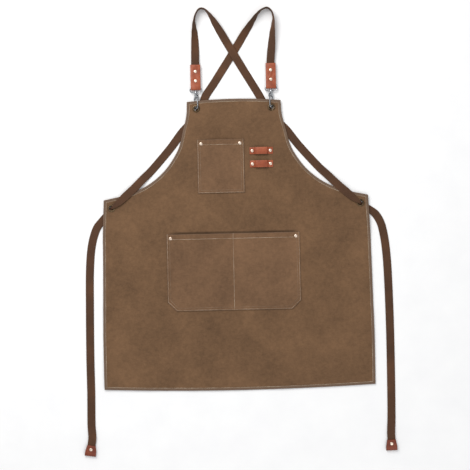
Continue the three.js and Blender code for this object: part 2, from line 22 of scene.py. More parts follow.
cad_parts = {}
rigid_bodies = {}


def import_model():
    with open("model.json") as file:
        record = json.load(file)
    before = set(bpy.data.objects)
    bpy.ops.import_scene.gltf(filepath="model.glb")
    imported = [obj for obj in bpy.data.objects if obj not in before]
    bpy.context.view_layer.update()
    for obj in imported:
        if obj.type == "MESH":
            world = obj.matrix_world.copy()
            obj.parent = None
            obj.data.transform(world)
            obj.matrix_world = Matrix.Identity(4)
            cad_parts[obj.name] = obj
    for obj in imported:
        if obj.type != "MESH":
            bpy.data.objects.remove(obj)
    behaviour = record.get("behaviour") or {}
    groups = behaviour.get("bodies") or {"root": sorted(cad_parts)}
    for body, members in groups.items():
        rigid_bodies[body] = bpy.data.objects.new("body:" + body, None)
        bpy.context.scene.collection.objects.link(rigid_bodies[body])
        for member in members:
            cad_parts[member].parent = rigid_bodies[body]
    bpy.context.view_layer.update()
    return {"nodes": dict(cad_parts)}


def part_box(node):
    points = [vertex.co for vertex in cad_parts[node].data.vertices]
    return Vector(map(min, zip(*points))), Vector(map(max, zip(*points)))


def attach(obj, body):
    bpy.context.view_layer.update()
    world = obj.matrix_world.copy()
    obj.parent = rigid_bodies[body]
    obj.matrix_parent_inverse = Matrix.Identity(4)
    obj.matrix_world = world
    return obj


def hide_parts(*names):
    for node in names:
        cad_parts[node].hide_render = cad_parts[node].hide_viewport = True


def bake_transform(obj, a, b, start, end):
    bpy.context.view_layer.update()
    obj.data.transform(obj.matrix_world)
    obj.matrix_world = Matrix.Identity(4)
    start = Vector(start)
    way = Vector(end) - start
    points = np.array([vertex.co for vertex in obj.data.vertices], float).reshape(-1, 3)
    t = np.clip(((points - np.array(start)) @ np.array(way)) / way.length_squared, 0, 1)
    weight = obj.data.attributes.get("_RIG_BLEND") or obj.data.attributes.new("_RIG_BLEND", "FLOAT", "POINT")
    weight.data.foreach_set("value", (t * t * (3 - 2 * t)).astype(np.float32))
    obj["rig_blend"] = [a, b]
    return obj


for leftover in list(bpy.data.objects):
    bpy.data.objects.remove(leftover)

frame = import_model()
scene = bpy.context.scene
MM = 0.001

panel_low, panel_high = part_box("apron_panel")
CENTRE = Vector(((panel_low.x + panel_high.x) / 2, panel_high.y - 0.268, panel_low.z - 0.0013))
print("waist centre in the frame:", [round(v * 1000, 3) for v in CENTRE])


def metres(points):
    """Rows of millimetres about the waist centre, as rows of metres in the frame."""
    return np.asarray(points, float) * MM + np.array(CENTRE)


# %% [markdown]
# ## The camera and the light
#
# The apron lies on a white table and is seen from straight above, so the camera looks down from three metres
# with a long lens, which keeps the edges of a flat thing from spreading. The cloth is turned a little on the
# table; turning the camera by the same small angle keeps the cloth square to its own axes. The light is one
# broad soft panel high on the left, one weaker on the right, and a pale sky to fill the rest.

# %% Camera, floor and lights
VIEW_WIDTH = 1.1755      # metres of table across the view
CAMERA_HEIGHT = 3.0
CAMERA_ROLL = -1.293     # degrees
CAMERA_SPOT = (-0.0029, -0.0104)

camera_data = bpy.data.cameras.new("camera")
camera_data.sensor_width = 36
camera_data.lens = 36 * CAMERA_HEIGHT / VIEW_WIDTH
camera = bpy.data.objects.new("camera", camera_data)
camera.location = (*CAMERA_SPOT, CAMERA_HEIGHT)
camera.rotation_euler = (0, 0, math.radians(CAMERA_ROLL))
scene.collection.objects.link(camera)
scene.camera = camera


def area_light(name, place, size, power, colour):
    """A square soft light that looks at the middle of the table."""
    data = bpy.data.lights.new(name, "AREA")
    data.size, data.energy, data.color = size, power, colour
    light = bpy.data.objects.new(name, data)
    light.location = place
    light.rotation_euler = (-Vector(place)).to_track_quat("-Z", "Y").to_euler()
    scene.collection.objects.link(light)
    return light


area_light("key_light", (-0.9, 1.4, 1.6), 1.4, 37, (1.0, 0.99, 0.975))
area_light("fill_light", (0.9, -1.9, 2.3), 2.0, 21, (0.99, 0.995, 1.0))

world = bpy.data.worlds.new("studio")
world.use_nodes = True
world.node_tree.nodes["Background"].inputs["Color"].default_value = (0.985, 0.99, 1.0, 1)
world.node_tree.nodes["Background"].inputs["Strength"].default_value = 0.6
scene.world = world
scene.view_settings.view_transform = "Standard"
scene.view_settings.look = "None"
print("camera lens", round(camera_data.lens, 1), "mm at", CAMERA_HEIGHT, "m")

# %% [markdown]
# ## Writing materials
#
# Every finish is a small node tree. These helpers keep the trees short to read: one adds a node and sets its
# sockets, one makes the blank material with its shader. Values that are the same all over a surface are set
# on the shader's own sockets; only what varies over the surface is wired.


# %% Helpers for node trees
def node(tree, kind, inputs=(), **settings):
    """Adds a node. inputs gives socket -> value, or socket -> another node's output to link from."""
    made = tree.nodes.new(kind)
    for key, value in settings.items():
        setattr(made, key, value)
    for key, value in dict(inputs).items():
        socket = made.inputs[key]
        if isinstance(value, bpy.types.NodeSocket):
            tree.links.new(value, socket)
        else:
            socket.default_value = value
    return made


def blank_material(name, **shader_values):
    """A material with only its output and shader. Returns the material, its tree and the shader."""
    material = bpy.data.materials.new(name)
    material.use_nodes = True
    tree = material.node_tree
    tree.nodes.clear()
    shader = node(tree, "ShaderNodeBsdfPrincipled")
    for key, value in shader_values.items():
        shader.inputs[key.replace("_", " ")].default_value = value
    output = node(tree, "ShaderNodeOutputMaterial")
    tree.links.new(shader.outputs["BSDF"], output.inputs["Surface"])
    return material, tree, shader


def ramp(tree, factor, *stops):
    """A colour ramp whose stops are (place, (r, g, b))."""
    made = node(tree, "ShaderNodeValToRGB", {"Fac": factor})
    elements = made.color_ramp.elements
    while len(elements) < len(stops):
        elements.new(0.5)
    for element, (place, colour) in zip(elements, stops):
        element.position, element.color = place, (*colour, 1)
    return made.outputs["Color"]


def mottle(tree, where, scale, detail=3.0, rough=0.55):
    made = node(tree, "ShaderNodeTexNoise", {"Vector": where, "Scale": scale, "Detail": detail, "Roughness": rough})
    return made.outputs["Fac"]


def mix(tree, share, a, b, blend="MIX"):
    """Two colours mixed by share, which may be a socket or a number."""
    made = node(tree, "ShaderNodeMix", data_type="RGBA", blend_type=blend)
    for name, value in ((0, share), (6, a), (7, b)):
        if isinstance(value, bpy.types.NodeSocket):
            tree.links.new(value, made.inputs[name])
        elif name:
            made.inputs[name].default_value = (*value, 1)
        else:
            made.inputs[name].default_value = value
    return made.outputs[2]


def maths(tree, operation, a, b=0.0):
    made = node(tree, "ShaderNodeMath", operation=operation)
    for i, value in enumerate((a, b)):
        if isinstance(value, bpy.types.NodeSocket):
            tree.links.new(value, made.inputs[i])
        else:
            made.inputs[i].default_value = value
    return made.outputs[0]


def bump(tree, height, distance, strength=1.0, under=None):
    inputs = {"Height": height, "Distance": distance, "Strength": strength}
    if under is not None:
        inputs["Normal"] = under
    return node(tree, "ShaderNodeBump", inputs).outputs["Normal"]


def attribute(tree, name):
    return node(tree, "ShaderNodeAttribute", attribute_name=name).outputs["Fac"]


# %% [markdown]
# ## Waxed canvas
#
# Heavy cotton duck is a plain weave of thick yarns, about a millimetre each. Wax darkens it unevenly, so its
# brown drifts over a hand's width, and rubbing lightens it in fine flecks. Two sine waves at right angles make
# the weave's bump. Near an edge the folded cloth stands up and its wax has rubbed off, so the mesh carries an
# attribute called wear, 1 at the fold and 0 inside the stitching, and the colour turns greyer with it. Above
# the skirt pocket's mouth a dark line of painted shade stands in for the shadow in the mouth's gap, and it fades
# out at both ends.


# %% Canvas
WEAVE_SCALE = 1000 / 1.1 / 6.2832      # yarns 1.1 mm apart


def canvas_material(name, tint, wear_colour=(0.150, 0.105, 0.078), mouth=None):
    """mouth is (x, y, half width) in metres of a pocket's mouth; a dark line of painted shade is laid just above it.
    """
    material, tree, shader = blank_material(name, Roughness=0.88, Sheen_Weight=0.06, Sheen_Roughness=0.5)
    shader.inputs["Specular IOR Level"].default_value = 0.22
    where = node(tree, "ShaderNodeTexCoord").outputs["Object"]
    cloud = mottle(tree, where, 9, 5, 0.6)
    fleck = mottle(tree, where, 110, 4, 0.75)
    yarn = mottle(tree, node(tree, "ShaderNodeMapping", {"Vector": where, "Scale": (90, 1500, 90)}).outputs[0], 1.0, 2)
    dark, light = [tuple(c * share for c in tint) for share in (0.68, 1.36)]
    base = ramp(tree, cloud, (0.34, dark), (0.50, tint), (0.66, light))
    flecked = mix(tree, 0.42, base, ramp(tree, fleck, (0.34, dark), (0.64, tuple(c * 1.36 for c in tint))))
    lined = mix(tree, 0.16, flecked, ramp(tree, yarn, (0.35, dark), (0.65, light)))
    patchy = maths(tree, "ADD", maths(tree, "MULTIPLY", fleck, 0.9), 0.25)
    rubbed = maths(tree, "MULTIPLY", attribute(tree, "wear"), patchy)
    colour = mix(tree, rubbed, lined, wear_colour)
    # Painted shade: a dark line just above the skirt pocket's mouth stands in for the shadow in the mouth's gap,
    # fading out at both ends.
    if mouth:
        x, y, half = mouth
        axes = node(tree, "ShaderNodeSeparateXYZ", {"Vector": where}).outputs
        off = [maths(tree, "ABSOLUTE", maths(tree, "SUBTRACT", axes[i], v)) for i, v in ((0, x), (1, y))]
        fades = [node(tree, "ShaderNodeMapRange", {"Value": o, 1: a, 2: b, 3: 1.0, 4: 0.0},
                      interpolation_type="SMOOTHSTEP").outputs[0]
                 for o, a, b in ((off[0], half - 0.02, half), (off[1], 0.0008, 0.0048))]
        line = maths(tree, "MULTIPLY", maths(tree, "MULTIPLY", *fades), maths(tree, "ADD", cloud, 0.12))
        colour = mix(tree, line, colour, tuple(c * 0.25 for c in tint))
    tree.links.new(colour, shader.inputs["Base Color"])
    waves = [
        node(tree, "ShaderNodeTexWave", {"Vector": where, "Scale": WEAVE_SCALE, "Distortion": 1.2,
                                         "Detail": 1.0, "Detail Scale": 0.6}, bands_direction=axis).outputs["Fac"]
        for axis in ("X", "Y")
    ]
    weave = maths(tree, "ADD", maths(tree, "MULTIPLY", waves[0], waves[1]), maths(tree, "MULTIPLY", fleck, 0.8))
    soft = bump(tree, mottle(tree, where, 26, 4, 0.6), 0.0035, 0.55)
    tree.links.new(bump(tree, weave, 0.00035, 0.55, soft), shader.inputs["Normal"])
    return material


# Where the painted shade line above the skirt pocket's mouth is centred.
mouth_shade_spot = metres([(-9, -65.6, 0)])[0]
canvas = canvas_material("waxed_canvas", (0.145, 0.079, 0.0395), mouth=(mouth_shade_spot[0], mouth_shade_spot[1], 0.164))
pocket_canvas = canvas_material("pocket_canvas", (0.156, 0.085, 0.0445))
print("canvas materials:", canvas.name, pocket_canvas.name)

# %% [markdown]
# ## Thread, webbing and leather
#
# Thread is waxed cotton: cream in the seams that show, and tan in the finer second row. Webbing is woven in ribs
# along its length with picks across, so its pattern has to follow the strap round its bends: it reads a UV map
# whose first axis is the distance across and whose second is the distance along, both in metres. Leather has
# pores (a Voronoi pattern), broad patches of colour, and a dark burnished cut edge, which is its own material
# on the faces that were cut.


# %% Thread and webbing
def thread_material(name, dull, bright):
    material, tree, shader = blank_material(name, Roughness=0.62, Sheen_Weight=0.1)
    where = node(tree, "ShaderNodeTexCoord").outputs["Object"]
    colour = ramp(tree, mottle(tree, where, 38, 3), (0.36, dull), (0.64, bright))
    tree.links.new(colour, shader.inputs["Base Color"])
    twist = node(tree, "ShaderNodeTexWave", {"Vector": where, "Scale": 420.0}, bands_direction="DIAGONAL")
    tree.links.new(bump(tree, twist.outputs["Fac"], 0.0002, 0.7), shader.inputs["Normal"])
    return material


def webbing_material():
    material, tree, shader = blank_material("brown_webbing", Roughness=0.8, Sheen_Weight=0.1, Sheen_Roughness=0.4)
    shader.inputs["Specular IOR Level"].default_value = 0.3
    shader.inputs["Sheen Tint"].default_value = (0.55, 0.36, 0.26, 1)
    uv = node(tree, "ShaderNodeUVMap", uv_map="along").outputs["UV"]
    where = node(tree, "ShaderNodeTexCoord").outputs["Object"]
    ribs = node(tree, "ShaderNodeTexWave", {"Vector": uv, "Scale": 80.0, "Distortion": 0.4}, bands_direction="X")
    picks = node(tree, "ShaderNodeTexWave", {"Vector": uv, "Scale": 140.0, "Distortion": 1.0}, bands_direction="Y")
    weave = maths(tree, "MULTIPLY", ribs.outputs["Fac"], picks.outputs["Fac"])
    cloud = mottle(tree, where, 17, 4)
    base = ramp(tree, cloud, (0.34, (0.044, 0.0175, 0.0065)), (0.52, (0.068, 0.0275, 0.0102)),
                (0.68, (0.106, 0.041, 0.0150)))
    fine = ramp(tree, mottle(tree, uv, 900, 2), (0.3, (0.045, 0.020, 0.010)), (0.7, (0.130, 0.064, 0.034)))
    woven = mix(tree, 0.35, base, fine)
    raised = mix(tree, maths(tree, "MULTIPLY", weave, 0.35), woven, (0.140, 0.068, 0.036))
    tree.links.new(raised, shader.inputs["Base Color"])
    tree.links.new(bump(tree, weave, 0.0005, 0.7), shader.inputs["Normal"])
    return material


def leather_material(name, dark, mid, light, rough=0.46, grain=0.5):
    material, tree, shader = blank_material(name, Coat_Weight=0.05, Coat_Roughness=0.35)
    shader.inputs["Specular IOR Level"].default_value = 0.36
    where = node(tree, "ShaderNodeTexCoord").outputs["Object"]
    pores = node(tree, "ShaderNodeTexVoronoi", {"Vector": where, "Scale": 1100.0}).outputs["Distance"]
    cloud = mottle(tree, where, 75, 5, 0.65)
    base = ramp(tree, cloud, (0.30, dark), (0.52, mid), (0.74, light))
    scuffs = ramp(tree, mottle(tree, where, 420, 3, 0.7), (0.58, (0, 0, 0)), (0.75, (1, 1, 1)))
    tree.links.new(mix(tree, maths(tree, "MULTIPLY", scuffs, 0.3), base, light), shader.inputs["Base Color"])
    roughness = maths(tree, "ADD", maths(tree, "MULTIPLY", cloud, 0.22), rough - 0.11)
    tree.links.new(roughness, shader.inputs["Roughness"])
    tree.links.new(bump(tree, pores, 0.00025, grain), shader.inputs["Normal"])
    return material


cream_thread = thread_material("cream_thread", (0.34, 0.245, 0.16), (0.66, 0.545, 0.41))
tan_thread = thread_material("tan_thread", (0.15, 0.10, 0.06), (0.31, 0.225, 0.15))
webbing = webbing_material()
leather = leather_material("red_tan_leather", (0.215, 0.045, 0.016), (0.300, 0.066, 0.024), (0.400, 0.110, 0.048))
tip_leather = leather_material("darker_tip_leather", (0.112, 0.022, 0.0085), (0.170, 0.035, 0.0135),
                               (0.255, 0.062, 0.027))
leather_edge = leather_material("burnished_edge", (0.05, 0.018, 0.010), (0.09, 0.030, 0.016),
                                (0.14, 0.05, 0.028), rough=0.6, grain=0.2)
print("threads and webbing:", cream_thread.name, tan_thread.name, webbing.name)
print("leathers:", leather.name, tip_leather.name, leather_edge.name)

# %% [markdown]
# ## Metals
#
# Three metals: pale nickel-brass rivets, grey nickel hooks, and dark antique brass eyelets. Metal takes its
# look from what it reflects, so what the tree adds is small: a slow change of tone, a rougher film in patches
# and very shallow dents and scratches in the bump.


# %% Rivet metal, nickel and brass
def metal_material(name, dark, light, rough, dents=0.00008):
    material, tree, shader = blank_material(name, Metallic=1.0)
    where = node(tree, "ShaderNodeTexCoord").outputs["Object"]
    patches = mottle(tree, where, 240, 4, 0.6)
    drawn_out = node(tree, "ShaderNodeMapping", {"Vector": where, "Scale": (3000, 260, 900)}).outputs[0]
    scratches = mottle(tree, drawn_out, 1, 2)
    tree.links.new(ramp(tree, patches, (0.35, dark), (0.65, light)), shader.inputs["Base Color"])
    spread = maths(tree, "ADD", maths(tree, "MULTIPLY", maths(tree, "ADD", patches, scratches), 0.14), rough - 0.14)
    tree.links.new(spread, shader.inputs["Roughness"])
    tree.links.new(bump(tree, maths(tree, "ADD", patches, maths(tree, "MULTIPLY", scratches, 0.3)), dents, 0.5),
                   shader.inputs["Normal"])
    return material


rivet_metal = metal_material("pale_rivet_metal", (0.80, 0.62, 0.49), (1.0, 0.88, 0.75), 0.36)
nickel = metal_material("bright_nickel", (0.235, 0.25, 0.265), (0.52, 0.535, 0.55), 0.22)
spring_steel = metal_material("spring_steel", (0.42, 0.42, 0.43), (0.60, 0.60, 0.60), 0.3)
antique_brass = metal_material("antique_brass", (0.034, 0.022, 0.013), (0.185, 0.125, 0.070), 0.38)
print("metals:", rivet_metal.name, nickel.name, spring_steel.name, antique_brass.name)

# %% [markdown]
# ## Small mesh tools
#
# Three shapes make most of the hardware. A lathe turns a profile round an axis, a tube follows a path with a
# round section, and a plate is a flat outline given thickness and then a small bevel, so that each edge
# catches the light as a tumbled casting does.


# %% Lathe, tube, plate
def smooth(start, end, value):
    t = np.clip((np.asarray(value, float) - start) / (end - start), 0, 1)
    return t * t * (3 - 2 * t)


def new_piece(name, points, faces, materials, sharp=40, face_materials=None):
    """A mesh object from points in metres, smooth shaded, with edges over sharp degrees kept crisp."""
    mesh = bpy.data.meshes.new(name)
    mesh.from_pydata([tuple(p) for p in points], [], faces)
    for material in materials:
        mesh.materials.append(material)
    if face_materials is not None:
        mesh.polygons.foreach_set("material_index", face_materials)
    mesh.shade_smooth()
    mesh.set_sharp_from_angle(angle=math.radians(sharp))
    mesh.update()
    piece = bpy.data.objects.new(name, mesh)
    scene.collection.objects.link(piece)
    return piece


def lathe(profile, sides=32):
    """(points, faces) of a profile of (radius, height) turned about Z. Radius 0 makes a pole."""
    points, faces, rings = [], [], []
    for radius, height in profile:
        if radius == 0:
            rings.append([len(points)])
            points.append((0, 0, height))
        else:
            rings.append(list(range(len(points), len(points) + sides)))
            points += [(radius * math.cos(a), radius * math.sin(a), height)
                       for a in (2 * math.pi * k / sides for k in range(sides))]
    for low, high in zip(rings, rings[1:]):
        for k in range(sides):
            n = (k + 1) % sides
            corners = [low[k % len(low)], low[n % len(low)], high[n % len(high)], high[k % len(high)]]
            corners = list(dict.fromkeys(corners))
            if len(corners) > 2:
                faces.append(corners)
    return np.array(points, float), faces


def tube(path, radius, sides=14):
    """(points, faces) of a round wire along a list of points, with capped ends."""
    path = [Vector(p) for p in path]
    count, points, faces = len(path), [], []
    up = Vector((0, 0, 1))
    for i, p in enumerate(path):
        ahead = path[i + 1] if i + 1 < count else p
        behind = path[i - 1] if i else p
        heading = (ahead - behind).normalized()
        across = heading.cross(up)
        across = across.normalized() if across.length > 0.05 else Vector((1, 0, 0))
        upward = across.cross(heading).normalized()
        points += [p + radius * (math.cos(a) * across + math.sin(a) * upward)
                   for a in (2 * math.pi * k / sides for k in range(sides))]
    for i in range(count - 1):
        a, b = i * sides, (i + 1) * sides
        faces += [[a + k, a + (k + 1) % sides, b + (k + 1) % sides, b + k] for k in range(sides)]
    faces += [list(range(sides - 1, -1, -1)), [(count - 1) * sides + k for k in range(sides)]]
    return np.array(points, float), faces


def bevelled(points, faces, width):
    """The same closed shape with its sharp edges rounded off."""
    work = bmesh.new()
    verts = [work.verts.new(p) for p in points]
    for face in faces:
        work.faces.new([verts[i] for i in face])
    bmesh.ops.recalc_face_normals(work, faces=work.faces)
    edges = [e for e in work.edges if e.is_manifold and e.calc_face_angle(0) > math.radians(30)]
    bmesh.ops.bevel(work, geom=edges, offset=width, segments=2, profile=0.5, affect="EDGES", clamp_overlap=True)
    work.verts.index_update()
    out = [v.co.copy() for v in work.verts], [[v.index for v in f.verts] for f in work.faces]
    work.free()
    return np.array(out[0], float), out[1]


def plate(outline, low, high, bevel=0.3):
    """A flat outline of (x, y) given thickness from low to high, with its edges rounded."""
    n = len(outline)
    points = [(x, y, low) for x, y in outline] + [(x, y, high) for x, y in outline]
    faces = [list(range(n - 1, -1, -1)), list(range(n, 2 * n))]
    faces += [[k, (k + 1) % n, n + (k + 1) % n, n + k] for k in range(n)]
    return bevelled(points, faces, bevel)


def joined(*shapes):
    """Several (points, faces) as one."""
    points, faces, start = [], [], 0
    for p, f in shapes:
        points.append(np.asarray(p, float))
        faces += [[i + start for i in face] for face in f]
        start += len(p)
    return np.concatenate(points), faces


def spline(points, steps=8):
    """A centripetal Catmull-Rom curve through points, and its headings. steps is a number for each stretch."""
    pts = [np.asarray(p, float) for p in points]
    stretches = len(pts) - 1
    steps = [steps] * stretches if isinstance(steps, int) else steps
    places, headings = [], []
    for i in range(stretches):
        p1, p2 = pts[i], pts[i + 1]
        p0 = pts[i - 1] if i else 2 * p1 - p2
        p3 = pts[i + 2] if i + 1 < stretches else 2 * p2 - p1
        d0, d1, d2 = [max(np.linalg.norm(b - a), 1e-9) ** 0.5 for a, b in ((p0, p1), (p1, p2), (p2, p3))]
        t1 = ((p1 - p0) / d0 - (p2 - p0) / (d0 + d1) + (p2 - p1) / d1) * d1
        t2 = ((p2 - p1) / d1 - (p3 - p1) / (d1 + d2) + (p3 - p2) / d2) * d1
        c2, c3 = -3 * p1 + 3 * p2 - 2 * t1 - t2, 2 * p1 - 2 * p2 + t1 + t2
        last = i == stretches - 1
        for k in range(steps[i] + last):
            u = k / steps[i]
            places.append(p1 + t1 * u + c2 * u * u + c3 * u ** 3)
            headings.append(t1 + 2 * c2 * u + 3 * c3 * u * u)
    return np.array(places), np.array(headings)


# %% [markdown]
# ## How the cloth lies
#
# The cloth is flat on the table except where something is under it: the bib lies over the straps, its corners
# over the hooks, and the waist corners over the ties. On top of that a cloth that has been folded and carried
# is never quite flat. Slow noise gives it low hills a hand wide, finer noise gives the small buckles, and the
# hem is drawn up by its stitches into little waves. The same height function is used for the panel, for the
# pockets that lie on it and for every stitch, so they all stay together.

# %% Heights
GAP = 0.3
CLOTH = 1.4
BASE = 1.3
BIB_EYELET = (94, 245)
SIDE_EYELET = (311, 1)


def underside(x, y):
    over_hook = 1 - smooth(22, 70, np.hypot(np.abs(x) - BIB_EYELET[0], y - BIB_EYELET[1]))
    over_tie = 1 - smooth(46, 105, np.hypot(np.abs(x) - SIDE_EYELET[0], y - SIDE_EYELET[1]))
    return BASE + 1.4 * smooth(140, 205, y) + 2.4 * over_hook + 3.1 * over_tie


def ripple(x, y, size, seed):
    """Noise from about -1 to 1 over hills of that size in mm."""
    flat = zip(np.ravel(x) / size, np.ravel(y) / size)
    return np.array([noise.noise((a, b, seed)) for a, b in flat]).reshape(np.shape(x))


def folds(x, y):
    """Low hills and buckles of the panel, always upwards."""
    calm = 1 - np.maximum(
        1 - smooth(14, 34, np.hypot(np.abs(x) - BIB_EYELET[0], y - BIB_EYELET[1])),
        1 - smooth(14, 34, np.hypot(np.abs(x) - SIDE_EYELET[0], y - SIDE_EYELET[1])),
    )
    hills = 0.85 + 1.4 * ripple(x, y, 120, 3.1) + 0.8 * ripple(0.7 * x, y, 46, 7.7) + 0.26 * ripple(x, y, 17, 1.3)
    return np.maximum(hills, 0) * calm


def panel_top(x, y):
    return underside(x, y) + CLOTH + folds(x, y)


print("cloth top at the centre:", round(float(panel_top(np.array([0.0]), np.array([0.0]))[0]), 2), "mm")

# %% [markdown]
# ## Building a hemmed sheet
#
# A hem is the cloth's edge folded to the back and stitched down, which makes the rim twice as thick, rounds
# its very edge and leaves a groove along the stitches. To model that, the sheet's outline is copied inwards
# several times at set distances, which gives clean bands of quads along the hem, and the inside is filled
# with a fine net of triangles. Each vertex then gets its height from how the cloth lies, the hem's profile at
# its distance from the edge, and the drawn-up waves along it. The back is the same net, lower by the cloth's
# thickness, and lower still under the hem.


# %% Outline, inset rings and the sheet
def dense(sides, step):
    """Sides (lists of points from corner to corner) cut into even short steps. Returns one array for each side."""
    out = []
    for side in sides:
        side = np.asarray(side, float)
        lengths = np.r_[0, np.cumsum(np.linalg.norm(np.diff(side, axis=0), axis=1))]
        at = np.linspace(0, lengths[-1], max(2, round(lengths[-1] / step)) + 1)
        out.append(np.c_[np.interp(at, lengths, side[:, 0]), np.interp(at, lengths, side[:, 1])])
    return out


def inset(sides, distance, reach=40.0):
    """The outline moved inwards, mitred at the corners between sides. The outline runs anticlockwise."""
    rings = []
    headings = []
    for side in sides:
        along = np.gradient(side, axis=0)
        headings.append(along / np.linalg.norm(along, axis=1)[:, None])
    for i, (side, heading) in enumerate(zip(sides, headings)):
        inward = np.c_[-heading[:, 1], heading[:, 0]]
        lengths = np.r_[0, np.cumsum(np.linalg.norm(np.diff(side, axis=0), axis=1))]
        fade = min(reach, lengths[-1] / 2)
        turn_in = corner_pull(headings[i - 1][-1], heading[0])
        turn_out = corner_pull(heading[-1], headings[(i + 1) % len(sides)][0])
        pull = turn_in * np.clip(1 - lengths / fade, 0, 1)
        pull -= turn_out * np.clip(1 - (lengths[-1] - lengths) / fade, 0, 1)
        rings.append(side + distance * (inward + pull[:, None] * heading))
    return np.concatenate([ring[:-1] for ring in rings])


def corner_pull(before, after):
    """How far along its side a corner moves for each unit of inset: the tangent of half the turn."""
    turn = math.atan2(before[0] * after[1] - before[1] * after[0], float(np.dot(before, after)))
    return math.tan(turn / 2)


def inside(points, outline):
    """Which points lie inside a closed outline."""
    x, y = points[:, 0], points[:, 1]
    hit = np.zeros(len(points), bool)
    for (x1, y1), (x2, y2) in zip(outline, np.roll(outline, -1, axis=0)):
        if y1 != y2:
            crosses = (y1 > y) != (y2 > y)
            hit ^= crosses & (x < (x2 - x1) * (y - y1) / (y2 - y1) + x1)
    return hit


RINGS = (0, 0.45, 1.2, 2.6, 4.4, 5.8, 6.5, 7.2, 8.2, 10.5)


def hem_profile(distance, groove=6.5):
    """Height that the hem adds to the face: a rounded edge, a full band, and a groove at the stitches."""
    edge = -0.55 * (1 - np.clip(distance / 1.3, 0, 1)) ** 2
    band = 0.34 * (1 - smooth(groove + 0.8, groove + 2.4, distance))
    return edge + band - 0.42 * np.exp(-((distance - groove) / 0.85) ** 2)


def nearest(points):
    """A search tree over flat points."""
    tree = KDTree(len(points))
    for i, point in enumerate(points):
        tree.insert((*point, 0), i)
    tree.balance()
    return tree


def hemmed_sheet(name, sides, face, thickness, material, spacing, step, holes=(), rings=RINGS, hem=0.5, waves=0.3,
                 rubbed=7.6):
    """A closed sheet of cloth. face(x, y) is its front, holes are (x, y, radius), hem is the fold's depth behind,
    and rubbed how far in from its edge the wax has worn."""
    sides = dense(sides, step)
    loops = [inset(sides, d) for d in rings]
    edge_net = np.concatenate(loops)
    count = len(loops[0])
    inner = loops[-1]
    low, high = inner.min(0), inner.max(0)
    grid = np.stack(np.meshgrid(np.arange(low[0], high[0], spacing), np.arange(low[1], high[1], spacing)), -1)
    grid[1::2, :, 0] += spacing / 2
    grid = grid.reshape(-1, 2)
    grid = grid[inside(grid, inner)]
    hole_sides = 28
    ring_angles = 2 * np.pi * np.arange(hole_sides) / hole_sides
    circles = [np.c_[x + r * np.cos(ring_angles), y + r * np.sin(ring_angles)] for x, y, r in holes]
    near = nearest(inner)
    keep = np.array([near.find((*p, 0))[2] > spacing * 0.45 for p in grid])
    for x, y, r in holes:
        keep &= np.hypot(grid[:, 0] - x, grid[:, 1] - y) > r + spacing * 0.35
    flat = np.concatenate([inner, *circles, grid[keep]])
    links = [(i, (i + 1) % count) for i in range(count)]
    for c in range(len(circles)):
        start = count + c * hole_sides
        links += [(start + k, start + (k + 1) % hole_sides) for k in range(hole_sides)]
    filled = delaunay_2d_cdt([Vector(p) for p in flat], links, [], 1, 1e-4)
    made = np.array([tuple(v) for v in filled[0]])
    triangles = np.array(filled[2])
    middle = made[triangles].mean(1)
    for x, y, r in holes:
        solid = np.hypot(middle[:, 0] - x, middle[:, 1] - y) > r * 0.97
        triangles, middle = triangles[solid], middle[solid]
    solid = inside(middle, inner)
    triangles = triangles[solid]
    ring_vertex = {i: (len(rings) - 1) * count + i for i in range(count)}
    lookup = np.zeros(len(made), int)
    extra = []
    for v, origin in enumerate(filled[3]):
        first = [o for o in origin if o < count]
        if first:
            lookup[v] = ring_vertex[first[0]]
        else:
            lookup[v] = len(edge_net) + len(extra)
            extra.append(made[v])
    xy = np.concatenate([edge_net, np.array(extra)])
    front_faces = [[r * count + k, r * count + (k + 1) % count, (r + 1) * count + (k + 1) % count, (r + 1) * count + k]
                   for r in range(len(rings) - 1) for k in range(count)]
    front_faces += lookup[triangles].tolist()
    rim = nearest(loops[0])
    far = np.array([rim.find((*p, 0))[1:] for p in xy])
    distance = far[:, 1]
    distance[: len(edge_net)] = np.repeat(rings, count)
    around = far[:, 0] * step
    x, y = xy[:, 0], xy[:, 1]
    drawn = waves * np.sin(2 * np.pi * around / 13 + 2.2 * ripple(x, y, 60, 5.5)) * (0.6 + 0.8 * ripple(x, y, 33, 2.2))
    drawn *= (1 - smooth(8, 20, distance)) * smooth(0.0, 4, distance)
    top = face(x, y) + hem_profile(distance) + drawn
    back = face(x, y) - thickness - hem * (1 - smooth(7.6, 8.6, distance))
    back[: count] += 0.35
    points = np.concatenate([np.c_[x, y, top], np.c_[x, y, back]])
    shift = len(xy)
    faces = front_faces + [[i + shift for i in reversed(f)] for f in front_faces]
    faces += [[(k + 1) % count, k, k + shift, (k + 1) % count + shift] for k in range(count)]
    borders = hole_borders(front_faces, count)
    faces += [[b, a, a + shift, b + shift] for a, b in borders]
    piece = new_piece(name, metres(points), faces, [material], sharp=70)
    wear = np.tile((1 - smooth(rubbed * 0.66, rubbed, distance)) * 0.95, 2)
    piece.data.attributes.new("wear", "FLOAT", "POINT").data.foreach_set("value", wear.astype(np.float32))
    print(name, "has", len(faces), "faces on", len(points), "points")
    return piece


def hole_borders(faces, rim_count):
    """Edges with a face on one side only, apart from those of the outline, each running as its face runs."""
    seen = {}
    for face in faces:
        for a, b in zip(face, face[1:] + face[:1]):
            seen[(a, b)] = True
    return [(a, b) for a, b in seen if (b, a) not in seen and not (a < rim_count and b < rim_count)]


# %% [markdown]
# ## The panel
#
# One piece of canvas makes the bib and the skirt. Its outline is drawn as six sides between its corners: the
# bowed hem, the two skirt sides, the two armhole curves and the slightly crowned top of the bib. Four round
# holes are left for the eyelets.

# %% Panel outline
SKIRT_SIDE = [(-452, 338.5), (-420, 339), (-380, 339), (-320, 339), (-250, 337.5), (-170, 336), (-120, 335),
              (-80, 334.5), (-45, 333), (-20, 332), (0, 331), (21, 330)]
ARMHOLE = [(330, 21), (262, 37), (214, 60), (178, 90), (155, 120), (139, 150), (128, 192), (119, 228), (117, 262)]
HEM_BOW, BIB_CROWN = 8, 6
EYELET_HOLE = 6.5

